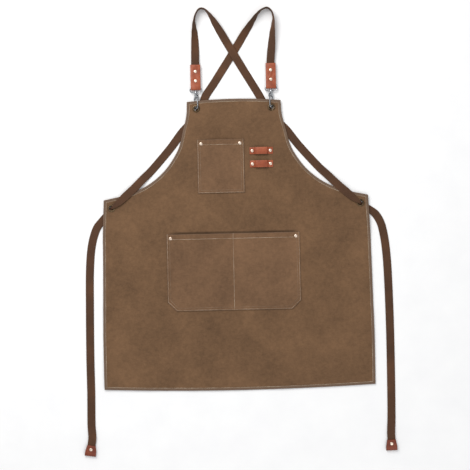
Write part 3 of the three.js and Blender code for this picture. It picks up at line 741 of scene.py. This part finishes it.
right_side = [(half, y) for y, half in SKIRT_SIDE]
right_armhole = spline(ARMHOLE, 8)[0].tolist()
across = np.linspace(-1, 1, 60)
hem = [(338.5 * s, -452 - HEM_BOW * (1 - s * s)) for s in across]
bib_edge = [(117 * s, 262 + BIB_CROWN * (1 - s * s)) for s in across[::-1]]


def mirrored(points):
    return [(-x, y) for x, y in reversed(points)]


panel_sides = [hem, right_side, right_armhole, bib_edge, mirrored(right_armhole), mirrored(right_side)]
eyelet_spots = [(side * x, y) for x, y in (SIDE_EYELET, BIB_EYELET) for side in (-1, 1)]
panel = hemmed_sheet("panel", panel_sides, panel_top, CLOTH, canvas, 5.5, 3.0,
                     holes=[(x, y, EYELET_HOLE) for x, y in eyelet_spots])

# %% [markdown]
# ## The pockets
#
# Each pocket is a patch with its edges turned in, stitched down both sides and along the bottom, so its mouth
# stands a little open. The big pocket is divided by a line of stitches down its middle, which holds it to the
# panel, and its lower corners are cut off. The gape follows a sine between the lines of stitching and fades
# downwards.

# %% Pockets
POCKETS = {
    "bib_pocket": {"x": -35.5, "top": 167, "width": 117, "height": 134, "chamfer": 0, "cells": 1},
    "skirt_pocket": {"x": -9, "top": -68, "width": 333, "height": 192, "chamfer": 22, "cells": 2},
}
POCKET_CLOTH = 1.2
GAPE = 4.6


def pocket_face(pocket):
    """The height of a pocket's front: on the panel, with its mouth standing open."""
    def face(x, y):
        across = (x - pocket["x"] + pocket["width"] / 2) / pocket["width"] * pocket["cells"]
        up = np.clip(1 - (pocket["top"] - y) / pocket["height"], 0, 1)
        gape = GAPE * np.sin(np.pi * np.clip(across, 0, pocket["cells"])) ** 4 * up ** 3
        return panel_top(x, y) + 0.55 + POCKET_CLOTH + gape + 0.12 * ripple(x, y, 23, 9.1)
    return face


def pocket_sides(pocket):
    """The pocket's sides from its lower left corner, anticlockwise. A square corner has no chamfer side."""
    half, height, cut = pocket["width"] / 2, pocket["height"], pocket["chamfer"]
    left, right = pocket["x"] - half, pocket["x"] + half
    low, top = pocket["top"] - height, pocket["top"]
    corners = [(left + cut, low), (right - cut, low), (right, low + cut), (right, top), (left, top), (left, low + cut)]
    return [[a, b] for a, b in zip(corners, corners[1:] + corners[:1]) if a != b]


POCKET_RINGS = (0, 0.4, 1.0, 1.9, 2.8, 4.4, 6.2, 7.4, 8.2)
pockets = {}
for name, pocket in POCKETS.items():
    pockets[name] = hemmed_sheet(f"{name}_cloth", pocket_sides(pocket), pocket_face(pocket), POCKET_CLOTH,
                                 pocket_canvas, 4.0, 2.5, rings=POCKET_RINGS, hem=0.2, waves=0.16, rubbed=1.0)

# %% [markdown]
# ## Stitching
#
# Stitches are what repeats most on this apron: about two thousand, three millimetres apart. Each seam is drawn
# once as a line of points lying on the cloth. A Geometry Nodes tree turns the lines into curves, sets a point
# at each pitch, puts a small long bead of thread on it turned along the seam, and makes the copies real. The
# tree's inputs are the pitch and the thread's width and length, so a coarser or finer seam is one number away.


# %% The stitching tree
def stitch_tree(name, material):
    tree = bpy.data.node_groups.new(name, "GeometryNodeTree")
    tree.interface.new_socket("Seams", in_out="INPUT", socket_type="NodeSocketGeometry")
    for label, value in (("Pitch", 0.0031), ("Thread width", 0.0009), ("Stitch length", 0.0026)):
        socket = tree.interface.new_socket(label, in_out="INPUT", socket_type="NodeSocketFloat")
        socket.default_value = value
    tree.interface.new_socket("Stitches", in_out="OUTPUT", socket_type="NodeSocketGeometry")
    start, end = node(tree, "NodeGroupInput"), node(tree, "NodeGroupOutput")
    curves = node(tree, "GeometryNodeMeshToCurve", {"Mesh": start.outputs["Seams"]})
    spots = node(tree, "GeometryNodeCurveToPoints", {"Curve": curves.outputs[0], "Length": start.outputs["Pitch"]},
                 mode="LENGTH")
    size = node(tree, "ShaderNodeCombineXYZ", {"X": start.outputs["Thread width"], "Y": start.outputs["Thread width"],
                                               "Z": start.outputs["Stitch length"]})
    bead = node(tree, "GeometryNodeMeshUVSphere", {"Segments": 6, "Rings": 5, "Radius": 0.5})
    placed = node(tree, "GeometryNodeInstanceOnPoints", {
        "Points": spots.outputs["Points"], "Instance": bead.outputs["Mesh"],
        "Rotation": spots.outputs["Rotation"], "Scale": size.outputs[0]})
    real = node(tree, "GeometryNodeRealizeInstances", {"Geometry": placed.outputs[0]})
    rounded = node(tree, "GeometryNodeSetShadeSmooth", {"Geometry": real.outputs[0]})
    dressed = node(tree, "GeometryNodeSetMaterial", {"Geometry": rounded.outputs[0], "Material": material})
    tree.links.new(dressed.outputs[0], end.inputs[0])
    return tree


def run_tree(name, tree, points, edges=(), marks=None, **values):
    """Runs a tree on a mesh of points and edges, and returns the result as a plain mesh object."""
    mesh = bpy.data.meshes.new(name + "_layout")
    mesh.from_pydata([tuple(p) for p in points], list(edges), [])
    for mark, flags in (marks or {}).items():
        mesh.attributes.new(mark, "BOOLEAN", "POINT").data.foreach_set("value", flags)
    layout = bpy.data.objects.new(name + "_layout", mesh)
    scene.collection.objects.link(layout)
    modifier = layout.modifiers.new("nodes", "NODES")
    modifier.node_group = tree
    for item in tree.interface.items_tree:
        if item.item_type == "SOCKET" and item.in_out == "INPUT" and item.name in values:
            modifier[item.identifier] = values[item.name]
    bpy.context.view_layer.update()
    evaluated = layout.evaluated_get(bpy.context.evaluated_depsgraph_get())
    result = bpy.data.objects.new(name, bpy.data.meshes.new_from_object(evaluated))
    scene.collection.objects.link(result)
    bpy.data.objects.remove(layout)
    bpy.data.meshes.remove(mesh)
    print(name, "has", len(result.data.polygons), "faces")
    return result


# %% Seam lines
HEM_SEAM = 6.5                    # from the panel's edge
POCKET_SEAM, INNER_SEAM = 2.2, 7.6
MOUTH_SEAM = 12.6                 # below a pocket's mouth


def seam(points, face, closed=False, step=1.6, lift=0.12):
    """Points of one seam lying on a face, and the edges between them."""
    (line,) = dense([list(points) + ([points[0]] if closed else [])], step)
    z = face(line[:, 0], line[:, 1]) + lift
    edges = [(i, i + 1) for i in range(len(line) - 1)]
    return np.c_[line, z], edges


def hem_seam(sides, distance, face):
    return seam(inset(dense(sides, 3.0), distance).tolist(), face, closed=True)


def panel_groove(x, y):
    return panel_top(x, y) - 0.05


def panel_back(x, y):
    return panel_top(x, y) - CLOTH - 0.72


outer_seams = [hem_seam(panel_sides, HEM_SEAM, panel_groove)]
inner_seams = [hem_seam(panel_sides, HEM_SEAM, panel_back)]
for name, pocket in POCKETS.items():
    face = pocket_face(pocket)
    x, half, top, height, cut = (pocket[k] for k in ("x", "width", "top", "height", "chamfer"))
    half /= 2
    for margin, seams, drop in ((POCKET_SEAM, outer_seams, 0.8), (INNER_SEAM, inner_seams, MOUTH_SEAM)):
        left, right, low = x - half + margin, x + half - margin, top - height + margin
        bevel = cut - margin * 0.41 if cut else 0
        start = top - drop
        line = [(left, start), (left, low + bevel), (left + bevel, low), (right - bevel, low), (right, low + bevel),
                (right, start)]
        line = [p for i, p in enumerate(line) if i == 0 or math.dist(p, line[i - 1]) > 0.1]
        seams.append(seam(line, face))
    mouth = top - MOUTH_SEAM
    outer_seams.append(seam([(x - half + POCKET_SEAM, mouth), (x + half - POCKET_SEAM, mouth)], face))
    if pocket["cells"] == 2:
        outer_seams.append(seam([(x, top - 1), (x, top - height + POCKET_SEAM)], face))

stitching = []
for name, thread, width, seams in (("cream_stitching", cream_thread, 0.00095, outer_seams),
                                   ("tan_stitching", tan_thread, 0.0008, inner_seams)):
    seam_points, seam_edges = [], []
    for points, edges in seams:
        shift = sum(len(p) for p in seam_points)
        seam_points.append(points)
        seam_edges += [(a + shift, b + shift) for a, b in edges]
    stitching.append(run_tree(name, stitch_tree(name, thread), metres(np.concatenate(seam_points)), seam_edges,
                              **{"Pitch": 0.0031, "Thread width": width, "Stitch length": 0.0026}))

# %% [markdown]
# ## Webbing
#
# Each strap is drawn as the maker lays it: a list of stations with the height of the lower edge, and how far
# the webbing is turned from lying flat (0) to standing on its edge (90), because flat webbing can't bend
# sideways and has to stand up to go round a curve. A smooth curve runs through the stations and a section
# with rounded selvedges is swept along it, with a UV map that gives the distance across and along. The strap
# narrows where it bunches up to pass through the side eyelet.

# %% The strip
WEB_WIDTH, WEB_THICK = 20.0, 1.6
SECTION = [(-1, -0.45), (-0.93, -0.95), (-0.8, -1), (-0.4, -0.93), (0, -0.93), (0.4, -0.93), (0.8, -1), (0.93, -0.95),
           (1, -0.45), (1, 0.45), (0.93, 0.95), (0.8, 1), (0.4, 0.93), (0, 0.93), (-0.4, 0.93), (-0.8, 1),
           (-0.93, 0.95), (-1, 0.45)]


def web_strip(name, stations, side, step=4.0):
    """Webbing through stations of (x, y, height, tilt[, width, thickness]); side is the edge that rises."""
    full = [(*s, WEB_WIDTH, WEB_THICK)[:6] if len(s) < 5 else (*s, WEB_THICK)[:6] for s in stations]
    rail = [s[:3] for s in full]
    steps = [max(2, round(math.dist(a, b) / step)) for a, b in zip(rail, rail[1:])]
    places, headings = spline(rail, steps)
    shares = [(i, k / n) for i, n in enumerate(steps) for k in range(n)] + [(len(steps) - 1, 1.0)]
    level, points, lengths = Vector((1, 0, 0)), [], [0.0]
    for (i, share), place, heading in zip(shares, places, headings):
        ease = share * share * (3 - 2 * share)
        tilt, width, thick = (a + (b - a) * ease for a, b in zip(full[i][3:], full[i + 1][3:]))
        heading = Vector(heading).normalized()
        flat = heading.cross(Vector((0, 0, 1))) * side
        if flat.length > 0.35:
            level = flat.normalized()
        lean = math.radians(tilt)
        wide = Matrix.Rotation(side * lean, 3, heading) @ level
        deep = heading.cross(wide).normalized()
        centre = Vector(place) + Vector((0, 0, width / 2 * math.sin(lean) + thick / 2 * math.cos(lean)))
        points += [centre + a * width / 2 * wide + b * thick / 2 * deep for a, b in SECTION]
        if len(points) > len(SECTION):
            lengths.append(lengths[-1] + (centre - before).length)
        before = centre
    n, rings = len(SECTION), len(places)
    faces = [[r * n + k, r * n + (k + 1) % n, (r + 1) * n + (k + 1) % n, (r + 1) * n + k]
             for r in range(rings - 1) for k in range(n)]
    faces += [list(range(n - 1, -1, -1)), [(rings - 1) * n + k for k in range(n)]]
    strip = new_piece(name, metres(points), faces, [webbing], sharp=60)
    uv = strip.data.uv_layers.new(name="along")
    for polygon in strip.data.polygons:
        for loop in polygon.loop_indices:
            v = strip.data.loops[loop].vertex_index
            uv.data[loop].uv = ((SECTION[v % n][0] + 1) / 2 * WEB_WIDTH * MM, lengths[v // n] * MM)
    print(name, "is", round(lengths[-1]), "mm long")
    return strip


# %% Routes of the straps
ON_TABLE = 0.2
TAB_WEB = 5.06          # underside of the webbing inside a strap tab
OVER = 3.2              # where the left strap lies on the right one
OVER_WAIST = 5.8        # top of the cloth beside a side eyelet
WEB_END = 304.2         # the strap's end inside its tab

LEFT_SHOULDER = [
    (-94, WEB_END, TAB_WEB, 0), (-94, 330, TAB_WEB, 0), (-94, 355.5, TAB_WEB, 0), (-93.7, 380, 3, 6),
    (-93.3, 407, 1, 22), (-93.6, 432, ON_TABLE, 42), (-94.3, 452, ON_TABLE, 64), (-93.5, 468, ON_TABLE, 82),
    (-88.8, 483.5, ON_TABLE, 90), (-80.5, 493.5, ON_TABLE, 90), (-70.5, 493.5, ON_TABLE, 90),
    (-61, 485.5, ON_TABLE, 82), (-52.8, 474, ON_TABLE, 66), (-41.8, 456.1, ON_TABLE, 42), (-29.5, 435.8, 0.6, 22),
    (-17.9, 415.6, 1.8, 6), (-7, 396.5, OVER, 0), (1.3, 382, OVER, 0), (11, 365, OVER, 0), (26.3, 339, 1, 0),
    (43, 311, ON_TABLE, 0), (63.6, 276, ON_TABLE, 0), (72, 260, ON_TABLE, 0), (81, 245, ON_TABLE, 0),
    (93, 228, ON_TABLE, 0), (110, 208, ON_TABLE, 0),
]
RIGHT_SHOULDER = [
    (94, WEB_END, TAB_WEB, 0), (94, 330, TAB_WEB, 0), (94, 355.5, TAB_WEB, 0), (95.8, 378, 3, 8),
    (98.1, 403, 1, 28), (99.9, 428, ON_TABLE, 48), (102.4, 452, ON_TABLE, 68), (103.2, 470, ON_TABLE, 84),
    (98.2, 485.5, ON_TABLE, 90), (88.2, 492.5, ON_TABLE, 90), (77, 489.5, ON_TABLE, 90), (65.6, 480, ON_TABLE, 80),
    (55, 465.4, ON_TABLE, 62), (41.8, 446.2, ON_TABLE, 42), (28.4, 427, ON_TABLE, 22), (14.7, 405, ON_TABLE, 6),
    (1.2, 383.8, ON_TABLE, 0), (-14, 360, ON_TABLE, 0), (-29.9, 335.8, ON_TABLE, 0), (-49.4, 306.2, ON_TABLE, 0),
    (-70, 276, ON_TABLE, 0), (-76, 261, ON_TABLE, 0), (-82.5, 245, ON_TABLE, 0), (-93, 228, ON_TABLE, 0),
    (-110, 208, ON_TABLE, 0),
]

ARMHOLE_RUN = [
    (129, 189, ON_TABLE, 0), (158, 151, ON_TABLE, 0), (190, 114, ON_TABLE, 0), (212, 90, 0.6, 0), (231, 72, 3, 0),
    (251, 52, OVER_WAIST - 0.4, 0), (273, 32, OVER_WAIST + 1.3, 0), (290, 17, OVER_WAIST + 1.5, 0, 18, 1.9),
    (300, 8.6, OVER_WAIST + 1.7, 0, 12, 2.8), (306.6, 4, OVER_WAIST + 1.7, 0, 8, 3),
    (310.4, 1.4, OVER_WAIST - 1, 0, 7, 3), (311, 1, 1.9, 0, 7, 3),
]
to_left = [(-x, *rest) for x, *rest in ARMHOLE_RUN]
left_strap = web_strip("left_strap_webbing", LEFT_SHOULDER + ARMHOLE_RUN, 1)
right_strap = web_strip("right_strap_webbing", RIGHT_SHOULDER + to_left, -1)

# %% [markdown]
# ## Waist ties
#
# The same webbing comes out under each side eyelet, opens to its full width and hangs down beside the skirt
# to its leather tip. The last of it is inside the tip, with a rivet through both.

# %% Ties
TIE_BASE = 0.3
TIP_WEB = 3.1           # underside of the webbing inside a tip
TIES = {
    "left": {"side": 1, "lean": -8, "end": (-374.4, -590), "stations": [
        (-308.6, 3.2, TIE_BASE, 0, 8, 2.2), (-313.6, -3.4, TIE_BASE, 0, 11, 2.2), (-323, -14, TIE_BASE, 0, 15, 1.9),
        (-335, -29, TIE_BASE, 0, 18), (-348, -46, ON_TABLE, 0), (-357.5, -70, ON_TABLE, 0),
        (-364, -100, ON_TABLE, 0), (-368.5, -150, ON_TABLE, 0), (-371, -250, ON_TABLE, 0),
        (-372.6, -374, ON_TABLE, 0), (-372.4, -464, ON_TABLE, 0), (-373.4, -540, 0.8, 0)]},
    "right": {"side": -1, "lean": 1, "end": (375, -592), "stations": [
        (308.6, 3.2, TIE_BASE, 0, 8, 2.2), (313.6, -3.4, TIE_BASE, 0, 11, 2.2), (321.5, -8, TIE_BASE, 0, 15, 1.9),
        (335, -16.5, TIE_BASE, 0, 18), (349, -29, ON_TABLE, 0), (360.5, -50, ON_TABLE, 0),
        (368.5, -85, ON_TABLE, 0), (373.5, -132, ON_TABLE, 0), (376, -190, ON_TABLE, 0), (378, -300, ON_TABLE, 0),
        (378, -421, ON_TABLE, 0), (376.5, -541, 0.8, 0)]},
}


def along_tip(tie, distance):
    turn = math.radians(tie["lean"])
    x, y = tie["end"]
    return x + distance * math.sin(turn), y - distance * math.cos(turn)


ties = {}
for hand, tie in TIES.items():
    route = tie["stations"] + [(*along_tip(tie, -18), TIP_WEB - 0.2, 0), (*along_tip(tie, 0), TIP_WEB, 0),
                               (*along_tip(tie, 17), TIP_WEB, 0)]
    ties[hand] = web_strip(f"{hand}_tie_webbing", route, tie["side"])

# %% [markdown]
# ## Leather tabs, tips and tool loops
#
# The solid model already folds the leather the right way, so each piece starts from a merged copy of its solid
# and gets what a leather worker does last: its sharp edges are rounded over and its cut sides are burnished
# dark. The cut faces are those that look sideways along the piece, and they take the edge material.


# %% Leather pieces
def refined(name, source, material, bevel, edge_material=None, cut_axes=()):
    """A merged copy of a solid with rounded edges. Faces that look along a cut axis take the edge material."""
    work = bmesh.new()
    mesh = frame["nodes"][source].data
    verts = [work.verts.new(v.co) for v in mesh.vertices]
    work.verts.ensure_lookup_table()
    for polygon in mesh.polygons:
        try:
            work.faces.new([verts[i] for i in polygon.vertices])
        except ValueError:
            pass
    bmesh.ops.remove_doubles(work, verts=work.verts, dist=0.00002)
    bmesh.ops.dissolve_limit(work, angle_limit=math.radians(2), verts=work.verts, edges=work.edges)
    sharp = [e for e in work.edges if e.is_manifold and e.calc_face_angle(0) > math.radians(32)]
    bmesh.ops.bevel(work, geom=sharp, offset=bevel * MM, segments=2, profile=0.5, affect="EDGES", clamp_overlap=True)
    work.verts.index_update()
    points = [v.co.copy() for v in work.verts]
    faces = [[v.index for v in f.verts] for f in work.faces]
    kinds = [int(any(abs(f.normal.dot(Vector(a))) > 0.82 for a in cut_axes)) for f in work.faces]
    work.free()
    materials = [material] + ([edge_material] if edge_material else [])
    return new_piece(name, points, faces, materials, sharp=50, face_materials=kinds if edge_material else None)


tabs, tips, loops = {}, {}, {}
for hand in ("left", "right"):
    tabs[hand] = refined(f"{hand}_tab_leather", f"{hand}_strap_tab", leather, 0.45, leather_edge, [(1, 0, 0)])
    tips[hand] = refined(f"{hand}_tip_leather", f"{hand}_tie_tip", tip_leather, 0.4, leather_edge, [(1, 0, 0)])
for level in ("upper", "lower"):
    loops[level] = refined(f"{level}_loop_leather", f"{level}_tool_loop", leather, 0.45, leather_edge, [(0, 1, 0)])
print("leather:", len(tabs), "tabs,", len(tips), "tips,", len(loops), "tool loops")

# %% [markdown]
# ## Rivets and eyelets
#
# The same two turned shapes are needed again and again: a rivet's domed cap with its rolled dimple
# and a flat back, and an eyelet's rolled flange with its washer behind. Geometry Nodes put them in place: the
# layout mesh has one point for each copy and a mark that says front or back, and the tree sets the front shape
# on the one and the back shape on the other. Each body gets its own mesh, because each moves on its own.


# %% The hardware tree
def hidden_shape(name, shape):
    """A turned shape, used only as the pattern for copies."""
    points, faces = shape
    piece = new_piece(name, np.asarray(points) * MM, faces, [], sharp=38)
    scene.collection.objects.unlink(piece)
    return piece


def pairs_tree(name):
    """Front and back shapes set on marked points."""
    tree = bpy.data.node_groups.new(name, "GeometryNodeTree")
    tree.interface.new_socket("Places", in_out="INPUT", socket_type="NodeSocketGeometry")
    for label in ("Front", "Back"):
        tree.interface.new_socket(label, in_out="INPUT", socket_type="NodeSocketObject")
    tree.interface.new_socket("Finish", in_out="INPUT", socket_type="NodeSocketMaterial")
    tree.interface.new_socket("Hardware", in_out="OUTPUT", socket_type="NodeSocketGeometry")
    start, end = node(tree, "NodeGroupInput"), node(tree, "NodeGroupOutput")
    behind = node(tree, "GeometryNodeInputNamedAttribute", {"Name": "behind"}, data_type="BOOLEAN")
    front = node(tree, "FunctionNodeBooleanMath", {0: behind.outputs["Attribute"]}, operation="NOT")
    join = node(tree, "GeometryNodeJoinGeometry")
    for label, choice in (("Front", front.outputs[0]), ("Back", behind.outputs["Attribute"])):
        shape = node(tree, "GeometryNodeObjectInfo", {"Object": start.outputs[label]})
        placed = node(tree, "GeometryNodeInstanceOnPoints", {
            "Points": start.outputs["Places"], "Selection": choice, "Instance": shape.outputs["Geometry"]})
        tree.links.new(placed.outputs[0], join.inputs[0])
    real = node(tree, "GeometryNodeRealizeInstances", {"Geometry": join.outputs[0]})
    dressed = node(tree, "GeometryNodeSetMaterial", {"Geometry": real.outputs[0], "Material": start.outputs["Finish"]})
    tree.links.new(dressed.outputs[0], end.inputs[0])
    return tree


hardware = pairs_tree("hardware_on_cloth")

# %% Rivets
rivet_cap = hidden_shape("rivet_cap", lathe(
    [(0, -1.5), (1.2, -1.5), (1.2, 0), (3.7, 0), (4.0, 0.22), (3.96, 0.5), (3.6, 0.92), (2.9, 1.18), (1.9, 1.30),
     (0.9, 1.26), (0, 1.24)], 28))
rivet_back = hidden_shape("rivet_back", lathe(
    [(0, 0), (2.7, 0), (3.1, 0.12), (3.2, 0.4), (3.05, 0.7), (1.2, 0.7), (1.2, 2.2), (0, 2.2)], 24))
CAP_HEIGHT = 1.3

rivet_sets = {
    "apron": [f"{pocket}_rivet_{s}" for pocket in ("bib_pocket", "skirt_pocket") for s in ("left", "right")]
             + [f"{level}_loop_rivet_{s}" for level in ("upper", "lower") for s in ("left", "right")],
}
for hand in ("left", "right"):
    rivet_sets[f"{hand}_strap_clip"] = [f"{hand}_tab_rivet_upper", f"{hand}_tab_rivet_lower"]
    rivet_sets[f"{hand}_waist_tie"] = [f"{hand}_tip_rivet"]

rivets = {}
for body, names in rivet_sets.items():
    places, behind = [], []
    for name in names:
        low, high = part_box(name)
        x, y = (low.x + high.x) / 2, (low.y + high.y) / 2
        top = high.z - CAP_HEIGHT * MM
        if "pocket" in name:
            pocket = POCKETS["bib_pocket" if name.startswith("bib") else "skirt_pocket"]
            here = [np.array([v]) for v in ((x - CENTRE.x) / MM, (y - CENTRE.y) / MM)]
            top = max(top, metres([[0, 0, float(pocket_face(pocket)(*here)[0]) + 0.25]])[0][2])
        places += [(x, y, top), (x, y, low.z)]
        behind += [False, True]
    rivets[body] = run_tree(f"{body}_rivets", hardware, places, marks={"behind": behind},
                            Front=rivet_cap, Back=rivet_back, Finish=rivet_metal)

# %% Eyelets
eyelet_front = hidden_shape("eyelet_front", lathe(
    [(5.5, -3.6), (5.5, 0.35), (5.75, 0.72), (6.4, 0.94), (7.4, 0.98), (8.6, 0.78), (9.3, 0.42), (9.5, 0.1),
     (9.3, 0.0), (6.2, 0.0), (6.2, -3.6), (5.5, -3.6)], 44))
eyelet_back = hidden_shape("eyelet_back", lathe(
    [(6.6, 0), (9.2, 0), (9.5, 0.2), (9.5, 0.6), (9.2, 0.8), (6.6, 0.8), (6.4, 0.4), (6.6, 0)], 40))
places, behind, eyelet_nodes = [], [], []
for kind, (x, y) in (("side", SIDE_EYELET), ("bib", BIB_EYELET)):
    for hand, sign in (("left", -1), ("right", 1)):
        low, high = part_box(f"{hand}_{kind}_eyelet")
        x_world, y_world = (low.x + high.x) / 2, (low.y + high.y) / 2
        places += [(x_world, y_world, high.z - 0.0009), (x_world, y_world, low.z)]
        behind += [False, True]
        eyelet_nodes += [f"{hand}_{kind}_eyelet", f"{hand}_{kind}_washer"]
eyelets = run_tree("eyelets", hardware, places, marks={"behind": behind},
                   Front=eyelet_front, Back=eyelet_back, Finish=antique_brass)

# %% [markdown]
# ## Snap hooks
#
# Each strap ends in a swivel snap hook. Its hook is a bent wire that goes down through the bib's eyelet and up
# again to the nose, where a sprung gate shuts it. Its stem turns in the boss of a D-shaped eye, and the tab is
# folded round the eye's bar. Everything is drawn flat about the eyelet and then leaned, so that the bow passes
# through the cloth at forty-five degrees.

# %% Hook, gate and eye
HOOK_AXIS = 5.86
HOOK_LEAN = math.radians(-135)
WIRE = 1.6
REACH = 5.6
BOW, NOSE = 5.2, 20.4

bow = [(-REACH * math.cos(a), BOW - REACH * math.sin(a), 0) for a in np.linspace(0, math.pi, 5)]
hook_line = [(-2.4, 32, 0), (-4.6, 28, 0), (-REACH, 22, 0), (-REACH, 16, 0), (-REACH, 10, 0), *bow,
             (REACH, 10.5, 0), (REACH, 15.5, 0), (REACH, NOSE, 0)]
FORK = [(-3.4, 26.6), (-1.8, 26), (2, 28.2), (6.6, 27.2), (7.4, 29.6), (6.2, 32.6), (3, 35), (-3, 35), (-3.6, 32)]
CORE = [(-3.4, 26.6), (-1.8, 26), (1.6, 28.0), (1.6, 35), (-3, 35), (-3.6, 32)]
LEVER = [(3.1, 30.6), (3.2, 27.2), (4.2, 23), (4.2, NOSE + GAP), (6.9, NOSE + GAP), (7.2, 24), (8.6, 27.4),
         (9.6, 30.2), (8.6, 31.4), (6.6, 31.2), (4.6, 31.9)]


def along_y(shape, y):
    """A turned shape stood along Y instead of Z, starting at y."""
    points, faces = shape
    return np.c_[points[:, 0], points[:, 2] + y, -points[:, 1]], faces


hook_wire = tube(spline(hook_line, 7)[0], WIRE, 16)
STEM = [(0, -1), (1.7, -1), (1.7, 9.0), (2.4, 9.1), (2.9, 9.5), (2.9, 10.4), (2.2, 11.1), (0, 11.3)]
stem = along_y(lathe(STEM, 24), 34)
hook_shape = joined(hook_wire, plate(FORK, -3.5, -1.5), plate(FORK, 2.1, 3.5), plate(CORE, -3.4, 3.4, 0.5), stem)
gate_shape = plate(LEVER, -1.2, 1.2, 0.45)

eye_line = [(3.4, 40.4, 0), (9, 40.6, 0), (12.6, 42.0, 0), (14.3, 45, 0), (14.3, 48.5, 0), (13.4, 50.3, 0),
            (11.5, 50.6, 0), (0, 50.6, 0)]
eye_line += [(-x, y, z) for x, y, z in reversed(eye_line[:-1])]
eye_wire = tube(spline(eye_line, 5)[0], 1.35, 14)
boss = along_y(lathe([(2.05, 0), (3.3, 0), (3.7, 0.4), (3.7, 6.4), (3.3, 6.9), (2.05, 6.9), (2.05, 0)], 26), 35.4)
eye_shape = joined(eye_wire, boss)


def hook_piece(name, shape, hand, lean, material):
    """Leans a hook part through its eyelet and sets it on its side of the bib."""
    points, faces = np.asarray(shape[0], float).copy(), [list(f) for f in shape[1]]
    if lean:
        c, s = math.cos(HOOK_LEAN), math.sin(HOOK_LEAN)
        x, z = points[:, 0].copy(), points[:, 2].copy()
        points[:, 0], points[:, 2] = c * x + s * z, -s * x + c * z
    points += (BIB_EYELET[0], BIB_EYELET[1], HOOK_AXIS)
    if hand == "left":
        points[:, 0] *= -1
        faces = [f[::-1] for f in faces]
    return new_piece(name, metres(points), faces, [material], sharp=45)


hooks = {h: hook_piece(f"{h}_hook_wire", hook_shape, h, True, nickel) for h in ("left", "right")}
gates = {h: hook_piece(f"{h}_gate_lever", gate_shape, h, True, nickel) for h in ("left", "right")}
eyes = {h: hook_piece(f"{h}_eye_ring", eye_shape, h, False, nickel) for h in ("left", "right")}
print("hook wire points:", len(hook_wire[0]), "eye points:", len(eye_shape[0]))

# %% [markdown]
# ## The table
#
# A plain pale floor, much larger than the apron, so the apron has something to lie on and cast its soft
# shadow on. It isn't part of the object.

# %% Floor
table_material, table_tree, table_shader = blank_material("pale_table", Roughness=0.9)
grainy = mottle(table_tree, node(table_tree, "ShaderNodeTexCoord").outputs["Object"], 14, 3)
table_tree.links.new(ramp(table_tree, grainy, (0.3, (0.90, 0.90, 0.905)), (0.7, (0.93, 0.93, 0.93))),
                     table_shader.inputs["Base Color"])
table = new_piece("table", [(-6, -6, 0), (6, -6, 0), (6, 6, 0), (-6, 6, 0)], [[0, 1, 2, 3]], [table_material])

# %% [markdown]
# ## Which body each piece moves with
#
# The cloth, pockets, stitching, eyelets, hooks and the straps' length ride on the apron. A strap tab, its
# rivets and the D eye turn together on the swivel; the strap's last few centimetres are blended so that they
# twist with the tab. A blend measures along one straight direction, and the same strap comes back behind the
# bib on the other side, so the direction is tilted until none of that far part takes a share of the turn: even
# two per cent of a half turn, 200 mm from the axis, lifts it through the cloth. The gates turn on their pins,
# and the ties swing about their side eyelets.

# %% Riding, replacing, slots
for piece, node_name, slot in [
    (panel, "apron_panel", "canvas"), (pockets["bib_pocket"], "bib_pocket", "canvas"),
    (pockets["skirt_pocket"], "skirt_pocket", "canvas"), (loops["upper"], "upper_tool_loop", "leather"),
    (loops["lower"], "lower_tool_loop", "leather"),
]:
    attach(piece, "apron")
    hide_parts(node_name)

for piece in stitching:
    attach(piece, "apron")
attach(eyelets, "apron")
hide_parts(*eyelet_nodes)
for body, piece in rivets.items():
    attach(piece, body)
    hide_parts(*rivet_sets[body])

for hand, strap in (("left", left_strap), ("right", right_strap)):
    sign = -1 if hand == "left" else 1
    for piece, node_name, body, slot in [
        (hooks[hand], "snap_hook", "apron", "hook_nickel"), (gates[hand], "hook_gate", f"{hand}_gate", "hook_nickel"),
        (eyes[hand], "swivel_eye", f"{hand}_strap_clip", "hook_nickel"),
        (tabs[hand], "strap_tab", f"{hand}_strap_clip", "leather"),
        (tips[hand], "tie_tip", f"{hand}_waist_tie", "leather"),
        (ties[hand], "tie", f"{hand}_waist_tie", "webbing"),
    ]:
        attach(piece, body)
        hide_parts(f"{hand}_{node_name}")
    twist_start, twist_end = metres([(sign * 105.3, 439.8, 1), (sign * 135.7, 414.5, 1)])
    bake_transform(strap, "apron", f"{hand}_strap_clip", start=tuple(twist_start), end=tuple(twist_end))
    turned = np.array([share.value for share in strap.data.attributes["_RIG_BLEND"].data])
    spots = np.array([v.co for v in strap.data.vertices])
    crossed = (spots[:, 0] - CENTRE.x) * sign < 0.06
    in_tab = spots[:, 1] < CENTRE.y + 0.352
    print(hand, "strap's share of the swivel's turn: past the loop", turned[crossed].max().round(4),
          "inside the tab", turned[in_tab & ~crossed].min().round(4))
    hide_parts(f"{hand}_strap", f"{hand}_strap_end")
    for small, metal in (("gate_pin", nickel), ("gate_spring", spring_steel)):
        cad_mesh = frame["nodes"][f"{hand}_{small}"].data
        cad_mesh.materials.clear()
        cad_mesh.materials.append(metal)
